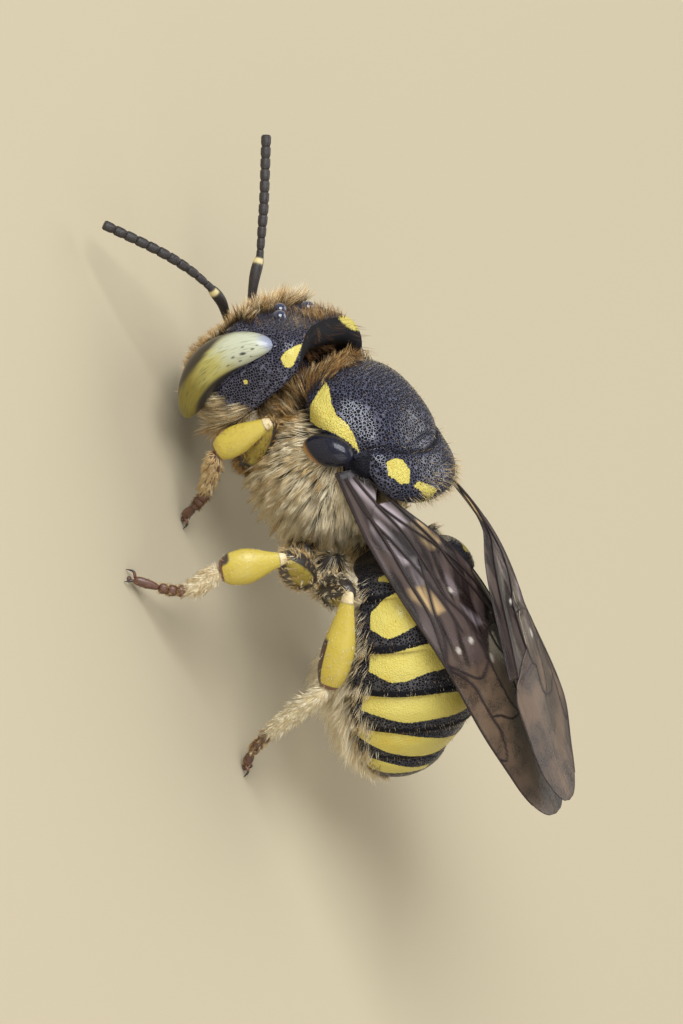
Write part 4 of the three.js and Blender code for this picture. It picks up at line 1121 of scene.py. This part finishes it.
def wing_sheet(stations, arch, start, stop, front_line, rear_line, veins, rows, across, free):
    """A closed thin membrane between two edges, with the values its finish reads.

    free gives, along y, how far its front and its rear edge are edges of the whole wing, not the seam.
    """
    y = np.linspace(start, stop, rows)
    share = np.concatenate([np.linspace(0, 1, across), np.linspace(1, 0, across)])
    front, rear = front_line(y), rear_line(y)
    x = front[:, None] + (rear - front)[:, None] * share[None]
    yy = np.repeat(y[:, None], 2 * across, 1)
    away = away_from_lines(x, yy, veins)
    to_edge = np.minimum(share, 1 - share)[None] * (front - rear)[:, None]
    free_front, free_rear = (part[:, None] for part in free(y))
    seam_at = 1 - np.where(share[None] < 0.5, free_front, free_rear)
    from_free = to_edge + 0.3 * seam_at
    fold = PLEAT_DEPTH * smooth(away, 0.0, 0.22) * smooth(from_free, 0.0, 0.1) * (1 - smooth(yy, 2.6, 4.2))
    z = wing_height(stations, arch, x, yy) - fold
    top = np.where(np.arange(2 * across) < across, 0.5, -0.5)[None] * FILM
    grid = np.stack([x, yy, z + top * smooth(to_edge, -0.02, 0.05)], axis=-1)
    edge = 1 - smooth(from_free, 0.02, 0.06)
    edge = np.maximum(edge, 0.9 * (1 - smooth(yy, start + 0.1, start + 0.6)) * (start < -3))
    outer = smooth(yy + 0.35 * x, 2.0, 3.3)
    # glint holds the painted highlight spots.
    glint = np.zeros(x.shape)
    for gx, gy, size in GLINTS:
        (px, py), = to_other_wing(stations, [(gx, gy)])
        glint = np.maximum(glint, 1 - smooth(np.hypot((x - px) * 1.3, (yy - py) * 0.8), size * 0.4, size))
    pale = {"lilac_sheen": np.zeros(x.shape), "golden": np.zeros(x.shape)}
    for strength, kind, outline in PATCHES:
        patch = smooth(inside(x, yy, to_other_wing(stations, outline)), -0.08, 0.08)
        pale[kind] = np.maximum(pale[kind], strength * patch)
    dark = np.maximum(edge, 1 - smooth(away, 0.015, 0.055))
    (sx, sy), = to_other_wing(stations, [STIGMA])
    dark = np.maximum(dark, 1 - smooth(np.hypot((x - sx) * 1.4, (yy - sy) * 0.45), 0.1, 0.2))
    cloud = smooth(yy, stop - 2.6, stop - 1.2) * (1 - smooth(to_edge, 0.25, 0.6)) * 0.45
    values = {"outer": outer, "glint": glint * 0.85, **pale, "dark": np.maximum(dark, cloud),
              "open": smooth(away, 0.12, 0.26) * (1 - outer)}
    return grid, values


def front_edge(stations, key, y):
    """A front wing's front or rear edge, drawn in round the tip."""
    front, rear = wing_line(stations, "x", y), wing_seam(stations, y)
    last = stations[-1]["y"]
    round_off = (1 - np.clip((y - last + TIP_ROUND) / TIP_ROUND, 0, 1) ** 2.4) ** (1 / 2.4)
    middle = mix(front, rear, 0.5)
    return middle + ((front if key == "front" else rear) - middle) * round_off


ribs = vein_tree()
for side, name, stations in ((1, "left", LEFT_WING), (-1, "right", RIGHT_WING)):
    arch, last = ARCH[name], stations[-1]["y"]
    veins = {key: (thick, to_other_wing(stations, way)) for key, (thick, way) in VEINS.items()}
    plain = [curve_at(way, np.linspace(0, 1, 5 * len(way))) for thick, way in veins.values()]
    sheet, values = wing_sheet(stations, arch, stations[0]["y"], last,
                               lambda y: front_edge(stations, "front", y),
                               lambda y: front_edge(stations, "rear", y), plain, 200, 46,
                               lambda y: (np.ones(len(y)), 1 - seam_share(y)))
    fore = closed_piece(f"front_wing_{name}", mirror(sheet, side), membrane, values)
    fasten(fore, "wing", f"forewing_{name}")
    margin = HINDWING["taper"] * 0.4
    start, stop = HINDWING["start"] + margin, HINDWING["end"] - margin
    hind_y = np.linspace(start, stop, 20)
    hind_vein = np.stack([wing_line(stations, "rear", hind_y) + 0.3, hind_y], axis=-1)
    sheet, values = wing_sheet(stations, arch, start, stop, lambda y: wing_seam(stations, y) + SEAM_LAP,
                               lambda y: wing_line(stations, "rear", y), plain + [hind_vein], 120, 40,
                               lambda y: (1 - seam_share(y), np.ones(len(y))))
    sheet[..., 2] -= HIND_DROP
    hind = closed_piece(f"hind_wing_{name}", mirror(sheet, side), membrane, values)
    fasten(hind, "wing", f"hindwing_{name}")
    ways, radii = [], []
    front_y = np.linspace(stations[0]["y"], last - 0.5, 60)
    leading = np.stack([front_edge(stations, "front", front_y) - 0.01, front_y], axis=-1)
    veins["leading edge"] = (0.05, leading)
    veins["hind vein"] = (0.028, hind_vein)
    for thick, way in veins.values():
        line = curve_at(way, np.linspace(0, 1, 10 * len(way)))
        z = wing_height(stations, arch, line[:, 0], line[:, 1])
        ways.append(np.c_[line[:, 0] * side, line[:, 1], z])
        radii.append(thick * (1 - 0.5 * np.linspace(0, 1, len(line))) * 0.8 * MM)
    ribbing = grown_mesh(f"wing_veins_{name}", new_line(f"vein_lines_{name}", ways, radii), ribs,
                         {"Step": VEIN_STEP * MM, "Finish": vein_wall})
    fasten(ribbing, "wing")

# ---- Coat of the thorax ----
# Fine hair in wedge-shaped tufts: fawn and cream, long and dense on the flanks, combed back and down
# from the wing roots, orange-brown in the collar behind the head, and short and sparse on the back.
def hair_finish(name):
    """Hair from black-brown through orange-brown and fawn to cream, darker at its root than its tip: painted
    shade deep in the coat.
    """
    finish, tree, shader = new_finish(name)
    ramp = node(tree, "ShaderNodeValToRGB", {"Fac": stored(tree, "tone")})
    stops = [(0.0, (0.012, 0.008, 0.007, 1)), (0.25, (0.2, 0.085, 0.02, 1)), (0.45, (0.54, 0.30, 0.085, 1)),
             (0.65, (0.74, 0.54, 0.26, 1)), (1.0, (0.96, 0.87, 0.64, 1))]
    ramp.color_ramp.elements[0].position, ramp.color_ramp.elements[0].color = stops[0]
    ramp.color_ramp.elements[1].position, ramp.color_ramp.elements[1].color = stops[-1]
    for position, colour in stops[1:-1]:
        ramp.color_ramp.elements.new(position).color = colour
    # Painted shade: each strand runs from near black at its root to its full colour at its tip.
    shade = between(tree, stored(tree, "tip"), 0.05, 0.75, 0.05, 1.0)
    feed(shader, {"Base Color": blend(tree, shade, (0.02, 0.012, 0.006, 1), ramp.outputs[0]),
                  "Roughness": 0.5, "Specular IOR Level": 0.35})
    return finish


hair = hair_finish("hair")


def spread_out(grid):
    """A skin with what hair needs to grow on it: its outward normals and the size of its cells."""
    down = np.gradient(grid, axis=0)
    around = (np.roll(grid, -1, axis=1) - np.roll(grid, 1, axis=1)) / 2
    cross = np.cross(down, around)
    normal = unit(cross)
    if (normal * (grid - grid.mean(axis=(0, 1)))).sum() < 0:
        normal = -normal
    return {"grid": grid, "normal": normal, "area": np.linalg.norm(cross, axis=-1),
            "down": np.linalg.norm(down, axis=-1), "around": np.linalg.norm(around, axis=-1)}


def read_skin(values, r, c):
    """Values on a skin's grid, read smoothly between its rows and columns."""
    rows, columns = values.shape[:2]
    r0 = np.clip(r.astype(int), 0, rows - 2)
    c0 = c.astype(int) % columns
    c1 = (c0 + 1) % columns
    tr, tc = r - r0, c - np.floor(c)
    if values.ndim == 3:
        tr, tc = tr[:, None], tc[:, None]
    return mix(mix(values[r0, c0], values[r0, c1], tc), mix(values[r0 + 1, c0], values[r0 + 1, c1], tc), tr)


def grow(skin, weight, comb, length, tone, strands, seed, lift=0.45, tip_lift=0.15, per_tuft=7, spread=0.05,
         thick=0.014, rings=3, wild=0.18, pull=0.6, vary=0.12, root_light=0.0):
    """Hair on a skin. weight, length and tone are values on its grid, comb the way the hair lies.

    Gives points, faces, the values of the points and where each strand's root is on the skin's unwrap.
    """
    dice = np.random.default_rng(seed)
    grid = skin["grid"]
    rows, columns = grid.shape[:2]
    chances = (skin["area"] * np.maximum(weight, 0) * np.ones((rows, columns)))[:-1].ravel()
    tufts = strands // per_tuft
    cell = dice.choice(chances.size, tufts, p=chances / chances.sum())
    r = (cell // columns) + dice.random(tufts)
    c = (cell % columns) + dice.random(tufts)
    of_tuft = np.repeat(np.arange(tufts), per_tuft)
    count = len(of_tuft)
    down = np.maximum(read_skin(skin["down"], r, c), 0.004)[of_tuft]
    around = np.maximum(read_skin(skin["around"], r, c), 0.004)[of_tuft]
    r = np.clip(r[of_tuft] + dice.normal(0, spread, count) / down, 0.5, rows - 1.5)
    c = (c[of_tuft] + dice.normal(0, spread, count) / around) % columns
    root, normal = read_skin(grid, r, c), unit(read_skin(skin["normal"], r, c))
    lie = read_skin(comb * np.ones((rows, columns, 1)), r, c)
    lie = unit(lie - normal * (lie * normal).sum(axis=1, keepdims=True))
    own = dice.normal(0, 1, (count, 3))
    shared = dice.normal(0, 1, (tufts, 3))[of_tuft]
    size = read_skin(length * np.ones((rows, columns)), r, c)
    size *= dice.uniform(0.75, 1.15, count) * dice.uniform(0.8, 1.15, tufts)[of_tuft]
    first = unit(normal * lift + lie * (1 - lift) + wild * (0.6 * own + 0.8 * shared) * 0.6)
    final = unit(normal * tip_lift + lie * (1 - tip_lift) + wild * (0.5 * own + shared))
    end = root + size[:, None] * (first + final) / 2
    gathered = np.repeat(end.reshape(tufts, per_tuft, 3).mean(axis=1), per_tuft, axis=0) - end
    beside = unit(np.cross(first, own))
    over = np.cross(first, beside)
    stout = thick * dice.uniform(0.7, 1.25, count)
    corners = np.arange(3) * 2 * np.pi / 3
    layers, tips = [], []
    for k in range(rings):
        t = k / rings
        spot = root - 0.015 * normal + size[:, None] * (first * t + (final - first) * t * t / 2)
        spot = spot + pull * t ** 1.5 * gathered
        for corner in corners:
            off = beside * math.cos(corner) + over * math.sin(corner)
            layers.append(spot + off * (stout * (1 - t) ** 0.7)[:, None])
            tips.append(np.full(count, t))
    layers.append(end + pull * gathered)
    tips.append(np.ones(count))
    points = np.stack(layers, axis=1).reshape(-1, 3)
    each = 3 * rings + 1
    pattern = []
    for k in range(rings - 1):
        for a in range(3):
            b, base = (a + 1) % 3, 3 * k
            pattern += [(base + a, base + b, base + 3 + b), (base + a, base + 3 + b, base + 3 + a)]
    pattern += [(3 * rings - 3 + a, 3 * rings - 3 + (a + 1) % 3, 3 * rings) for a in range(3)]
    faces = (np.array(pattern)[None] + (np.arange(count) * each)[:, None, None]).reshape(-1, 3)
    shade = read_skin(tone * np.ones((rows, columns)), r, c)
    shade = np.clip(shade + vary * (0.8 * dice.normal(0, 1, tufts)[of_tuft] + 0.5 * own[:, 0]), 0, 1)
    # The tip value drives the painted root shade; root_light starts it lighter.
    values = {"tone": np.repeat(shade, each), "tip": mix(root_light, 1.0, np.stack(tips, axis=1).ravel())}
    patch = np.stack([np.tile([0, 0.0012, 0.0006], rings), np.repeat(np.arange(rings) / rings * 0.003, 3)],
                     axis=-1)
    patch = np.concatenate([patch, [[0.0006, 0.003]]])
    spots = np.stack([c / columns, r / rows], axis=-1)
    unwrap = (spots[:, None] * 0.995 + patch[None]).reshape(-1, 2)
    return points, faces, values, unwrap


def new_coat(name, growths, slot="coat"):
    """One coat piece from one or more growths of hair, with its bake map."""
    starts = np.cumsum([0] + [len(growth[0]) for growth in growths])
    points = np.concatenate([growth[0] for growth in growths])
    faces = np.concatenate([growth[1] + start for growth, start in zip(growths, starts)])
    values = {key: np.concatenate([growth[2][key] for growth in growths]) for key in ("tone", "tip")}
    unwrap = np.concatenate([growth[3] for growth in growths])
    piece = new_piece(name, points, faces, hair, values)
    mesh = piece.data
    corner = np.zeros(len(mesh.loops), dtype=np.int32)
    mesh.loops.foreach_get("vertex_index", corner)
    bake = mesh.uv_layers.new(name="OFBake")
    bake.data.foreach_set("uv", unwrap[corner].astype(np.float32).ravel())
    fasten(piece, slot)


def lying(*parts):
    """The way hair lies, from its parts along x, y and z, each a number or a grid."""
    return np.stack(np.broadcast_arrays(*parts), axis=-1)


trunk = spread_out(thorax_points)
WING_ROOT = (1.85, 0.1, 0.45)      # where the left wings are rooted, in the thorax's own turned frame
wing_root = in_frame(np.array(WING_ROOT), THORAX)
from_root = thorax_points - wing_root * np.where(tx[..., None] > 0, 1, np.array([-1, 1, 1]))
flank_comb = unit(unit(from_root) + lying(0.1 * np.sign(tx), 0.8, -0.62) * 0.7)
flank = smooth(over, 2.35, 2.75) * (1 - 0.6 * smooth(-tz, 2.3, 2.8))
flank *= 1 - 0.85 * smooth(np.abs(ty), 1.6, 1.8)
flank *= 1 - smooth(tz, 0.25, 0.5)
flank_length = mix(0.6, 1.15, smooth(-tz, -0.6, 1.0)) * mix(0.85, 1.1, smooth(ty, -1.2, 0.8))
flank_tone = 0.88 + 0.1 * smooth(ty, -0.6, 1.0) - 0.28 * smooth(-ty, 0.5, 1.5)
for side, name in SIDES:
    new_coat(f"flank_coat_{name}", [
        grow(trunk, flank * (tx * side > 0), flank_comb, flank_length, flank_tone, 13000, 11 + side,
             lift=0.46, tip_lift=0.12, per_tuft=14, spread=0.075, pull=0.85, root_light=0.06, thick=0.012,
             wild=0.1, vary=0.18)])
collar = smooth(-ty, 1.25, 1.55) * smooth(tz, -1.6, -0.6)
collar_comb = lying(0.15 * tx, -0.9, mix(-0.45, 0.3, smooth(tz, -0.2, 1.2)))
throat = smooth(-ty, 1.1, 1.35) * smooth(-tz, -0.3, 0.1) * (1 - smooth(-tz, 1.7, 2.1))
throat *= smooth(np.abs(tx), 0.5, 0.9)
throat_comb = lying(0.35 * np.sign(tx), -0.8, -0.4)
rear_face = smooth(ty, 1.35, 1.6) * (1 - smooth(tz, 0.7, 1.0))
rear_comb = lying(0.3 * tx, 0.6, -0.4)
new_coat("collar_coat", [
    grow(trunk, collar, collar_comb, 0.5, 0.34, 2200, 21, lift=0.45, tip_lift=0.2, per_tuft=5,
         thick=0.0065, vary=0.22, pull=0.5),
    grow(trunk, throat, throat_comb, 0.9, 0.5, 4800, 25, lift=0.55, tip_lift=0.3, per_tuft=8,
         thick=0.009, vary=0.22, pull=0.7),
    grow(trunk, rear_face, rear_comb, 0.45, 0.72, 4500, 22, lift=0.5, tip_lift=0.3, per_tuft=7, vary=0.2),
])
upright = lying(0.2 * tx, 0.35, 0.3)
on_back = (1 - smooth(over, 2.2, 2.6)) * (ty > -1.9) * (ty < 1.7)
shelf_skin = spread_out(in_frame(shelf, THORAX))
shelf_top = smooth(shelf_z, 1.0, 1.2)
shelf_rear = smooth(shelf_y, 1.7, 2.1)
new_coat("back_down", [
    grow(trunk, on_back, upright, 0.16, 0.6, 220, 23, lift=0.8, tip_lift=0.6, per_tuft=1,
         thick=0.005, rings=2, pull=0),
    grow(shelf_skin, shelf_top * 0.06 + shelf_rear, lying(0, 0.5, 0.3), 0.28, 0.7, 420, 24, lift=0.7,
         tip_lift=0.5, per_tuft=1, thick=0.006, rings=2, pull=0),
])

# ---- Coat of the head ----
# An ochre fringe stands on the face and crown, flat fawn hair streaks the cheeks, and golden hair
# fills the hollow behind.
skull_skin = spread_out(head_points)
face_zone = smooth(-deep, 0.5, 0.75) * smooth(1.75 - np.abs(wide), 0, 0.4)
face_comb = lying(0.3 * np.sign(wide), -0.7, 0.4 * tall)
face_length = mix(0.34, 0.6, smooth(tall, 0.2, 1.0))
crown_zone = smooth(tall, 0.85, 1.15) * (1 - in_hollow) * (0.15 + smooth(-deep, 0.1, 0.5))
crown_zone *= smooth(np.hypot(np.abs(wide) - 0.74, deep + 0.35), 0.25, 0.4)
far_crown = smooth(tall, 1.2, 1.6) * (1 - in_hollow) * mix(0.2, 1.0, smooth(-wide, -0.4, 0.2))
far_crown *= smooth(deep, -0.35, -0.1) * (1 - smooth(np.abs(wide), 0.8, 1.4))
crown_comb = lying(0.1 * wide, -0.9, 0.2)
rear_zone = in_hollow * smooth(tall, -1.6, -1.0)
rear_head_comb = lying(0.5 * wide, 0.2, 0.5)
beard_zone = smooth(in_hollow, 0.02, 0.4) * smooth(-tall, -0.1, 0.4) * smooth(np.abs(wide), 0.9, 1.3)
cheek_zone = smooth(0.6 * deep - tall, 0.5, 1.1) * smooth(np.abs(wide), 0.8, 1.1) * smooth(deep, -0.4, 0.0)
cheek_zone *= 1 - in_hollow
cheek_comb = lying(0.05 * np.sign(wide), -0.12, -0.95)
new_coat("face_coat", [
    grow(skull_skin, face_zone, face_comb, face_length, 0.57, 4600, 31, lift=0.75, tip_lift=0.5, per_tuft=4,
         thick=0.008, wild=0.26, vary=0.22),
    grow(skull_skin, crown_zone, crown_comb, 0.18, 0.3, 120, 32, lift=0.75, tip_lift=0.55, per_tuft=1,
         thick=0.006),
    grow(skull_skin, far_crown, crown_comb, 0.27, 0.4, 520, 36, lift=0.8, tip_lift=0.6, per_tuft=2,
         thick=0.0045, vary=0.2, root_light=0.1),
], "black")
new_coat("cheek_coat", [
    grow(skull_skin, cheek_zone, cheek_comb, 0.62, 0.76, 3600, 33, lift=0.14, tip_lift=0.03, per_tuft=6,
         thick=0.0065, wild=0.1, vary=0.2, root_light=0.1),
    grow(skull_skin, rear_zone, rear_head_comb, 0.5, 0.2, 500, 34, lift=0.5, tip_lift=0.3, per_tuft=3,
         thick=0.0055, vary=0.08),
    grow(skull_skin, beard_zone, lying(0, 0.75, -0.3), 0.62, 0.46, 2200, 35, lift=0.25, tip_lift=0.1,
         per_tuft=6, thick=0.008, vary=0.22),
], "black")

# ---- Coat of the abdomen ----
# A dense cream brush for pollen hangs under the belly. Pale fringes edge the rings at the sides, and
# short dark and golden hairs stand on their backs.
belly = spread_out(abdomen_form)
brush_zone = smooth(turned, 104, 118) * smooth(ring_at, 0.9, 1.5) * (1 - 0.7 * smooth(ring_at, 5.5, 5.9))
brush_length = 0.95 * mix(0.7, 1.0, smooth(ring_at, 1.0, 2.2)) * mix(1.0, 0.55, smooth(ring_at, 4.6, 5.6))
new_coat("belly_brush", [
    grow(belly, brush_zone, lying(0, 0.85, -0.45), brush_length, 0.96, 10500, 41, lift=0.4, tip_lift=0.1,
         per_tuft=10, spread=0.07, thick=0.0125, root_light=0.3),
], "banded")
fringe_zone = smooth(turned, 84, 96) * (1 - smooth(turned, 112, 120)) * smooth(ring_at, 0.2, 0.6)
fringe_zone *= 0.35 + smooth(part_way, 0.55, 0.9)
down_zone = (1 - smooth(turned, 92, 100)) * np.where(bands > 0, 0.25, 1.0) * smooth(ring_at, 0.4, 1.0)
down_zone *= 0.25 + smooth(part_way, 0.6, 0.95) * (ring_at < 5)
new_coat("ring_fringes", [
    grow(belly, fringe_zone, lying(0, 0.8, -0.5), 0.32, 0.82, 3600, 42, lift=0.45, tip_lift=0.2, per_tuft=3,
         thick=0.0075, root_light=0.1, vary=0.2),
    grow(belly, down_zone, lying(0, 1.0, -0.25), 0.11, 0.7, 900, 43, lift=0.5, tip_lift=0.3, per_tuft=1,
         thick=0.005, rings=2, pull=0, vary=0.25),
], "banded")

# ---- Coat of the legs ----
# Fawn hair hangs from the hips and thighs, short golden down covers the shins, and dense brushes of
# cream to orange-brown hair stand on the first foot joints.
# Each part's count of hairs, their length and tone, and how far they stand up, from the hip to the foot.
HAIR_OF_PART = [(900, 0.35, 0.66, 0.5), (700, 0.28, 0.7, 0.4), (350, 0.1, 0.8, 0.25), (1900, 0.24, 0.9, 0.3),
                (160, 0.14, 0.5, 0.4), (140, 0.13, 0.45, 0.4), (120, 0.12, 0.42, 0.4), (120, 0.1, 0.35, 0.35)]
SHIN, FIRST_JOINT = 2, 3
TONE_SHIFT = {"fore": -0.24, "mid": -0.04, "hind": 0.08}
LENGTH_SHARE = {"fore": 0.9, "mid": 1.0, "hind": 1.25}
for number, (leg_name, parts) in enumerate(leg_skins.items()):
    growths = []
    pair = leg_name.split("_")[0]
    for k, (count, length, tone, lift) in enumerate(HAIR_OF_PART):
        form = parts[k][0]
        onward = unit(np.gradient(form, axis=0).mean(axis=1))[:, None] * np.ones(form.shape)
        points, faces, values, unwrap = grow(
            spread_out(form), 1.0, onward + np.array([0, 0, -0.25]), length * LENGTH_SHARE[pair],
            tone + TONE_SHIFT[pair], count, 100 + 10 * number + k, lift=lift, tip_lift=0.2,
            per_tuft=1 if k == SHIN else 4, spread=0.03, thick=0.009 if k <= FIRST_JOINT else 0.006, rings=2,
            wild=0.22, root_light=0.4 if k == FIRST_JOINT else 0.15)
        band = unwrap * np.array([1, 1 / len(HAIR_OF_PART)]) + np.array([0, k / len(HAIR_OF_PART)])
        growths.append((points, faces, values, band))
    new_coat(f"leg_coat_{leg_name}", growths, "yellow")

# ---- Camera, floor and light ----
# A plain pale floor and soft studio light, with the camera turned on its side to the bee.
VIEW_TURN, VIEW_RISE, VIEW_ROLL = (math.radians(angle) for angle in (80.6, 28.0, 77.0))
VIEW_DISTANCE = 250.0
FRAME_HEIGHT = 25.6       # how much of the bee's neighbourhood the picture's height shows, in mm
AIM = (2.31, 2.575)       # where the camera looks: across and up the picture from the bee's own zero
SENSOR = 24.0

back = np.array([math.sin(VIEW_TURN) * math.cos(VIEW_RISE), -math.cos(VIEW_TURN) * math.cos(VIEW_RISE),
                 math.sin(VIEW_RISE)])
level = np.array([math.cos(VIEW_TURN), math.sin(VIEW_TURN), 0])
upright = np.cross(back, level)
across = math.cos(VIEW_ROLL) * level + math.sin(VIEW_ROLL) * upright
along = -math.sin(VIEW_ROLL) * level + math.cos(VIEW_ROLL) * upright
eye_at = VIEW_DISTANCE * back
aim = AIM[0] * across + AIM[1] * along
look_back = unit(eye_at - aim)
look_right = unit(np.cross(along, look_back))
look_up = np.cross(look_back, look_right)
camera_data = bpy.data.cameras.new("camera")
camera_data.sensor_fit = "VERTICAL"
camera_data.sensor_height = SENSOR
camera_data.lens = SENSOR * VIEW_DISTANCE / FRAME_HEIGHT
camera_data.clip_start = 0.01
camera_data.clip_end = 10
camera = new_object("camera", camera_data)
turn = Matrix([list(row) for row in np.stack([look_right, look_up, look_back], axis=1)]).to_4x4()
camera.matrix_world = Matrix.Translation(Vector((eye_at + np.array([0, REAR, 0])) * MM)) @ turn
bpy.context.scene.camera = camera

floor_finish, tree, shader = new_finish("floor_paper")
feed(shader, {"Base Color": (0.455, 0.395, 0.272, 1), "Roughness": 0.9})
SIDE = 1.5                # half the floor's width, in m
floor_mesh = bpy.data.meshes.new("floor")
corners = [(-SIDE, -SIDE, 0), (SIDE, -SIDE, 0), (SIDE, SIDE, 0), (-SIDE, SIDE, 0)]
floor_mesh.from_pydata(corners, [], [(0, 1, 2, 3)])
floor_mesh.materials.append(floor_finish)
new_object("floor", floor_mesh)

LAMP_AWAY = 0.5            # how far off a light is, in m
BEE_HEIGHT = 3


def softbox(name, toward, size, power, colour):
    """A square area light `size` m wide, out in the direction `toward` from the bee."""
    lamp_data = bpy.data.lights.new(name, "AREA")
    lamp_data.size = size
    lamp_data.energy = power
    lamp_data.color = colour
    lamp = new_object(name, lamp_data)
    direction = Vector(toward).normalized()
    lamp.location = direction * LAMP_AWAY + Vector((0, 0, BEE_HEIGHT * MM))
    lamp.rotation_euler = direction.to_track_quat("Z", "Y").to_euler()


softbox("key", (0.55, -0.75, 0.9), 0.35, 3.4, (0.93, 0.96, 1.0))
softbox("fill", (0.9, 0.5, 0.4), 0.5, 1.0, (1.0, 0.95, 0.88))
softbox("rim", (-0.7, 0.1, 0.8), 0.4, 1.2, (1.0, 0.97, 0.92))
world = bpy.data.worlds.new("studio")
world.use_nodes = True
feed(world.node_tree.nodes["Background"], {"Color": (0.80, 0.78, 0.76, 1), "Strength": 0.42})
bpy.context.scene.world = world
bpy.context.scene.view_settings.view_transform = "Standard"
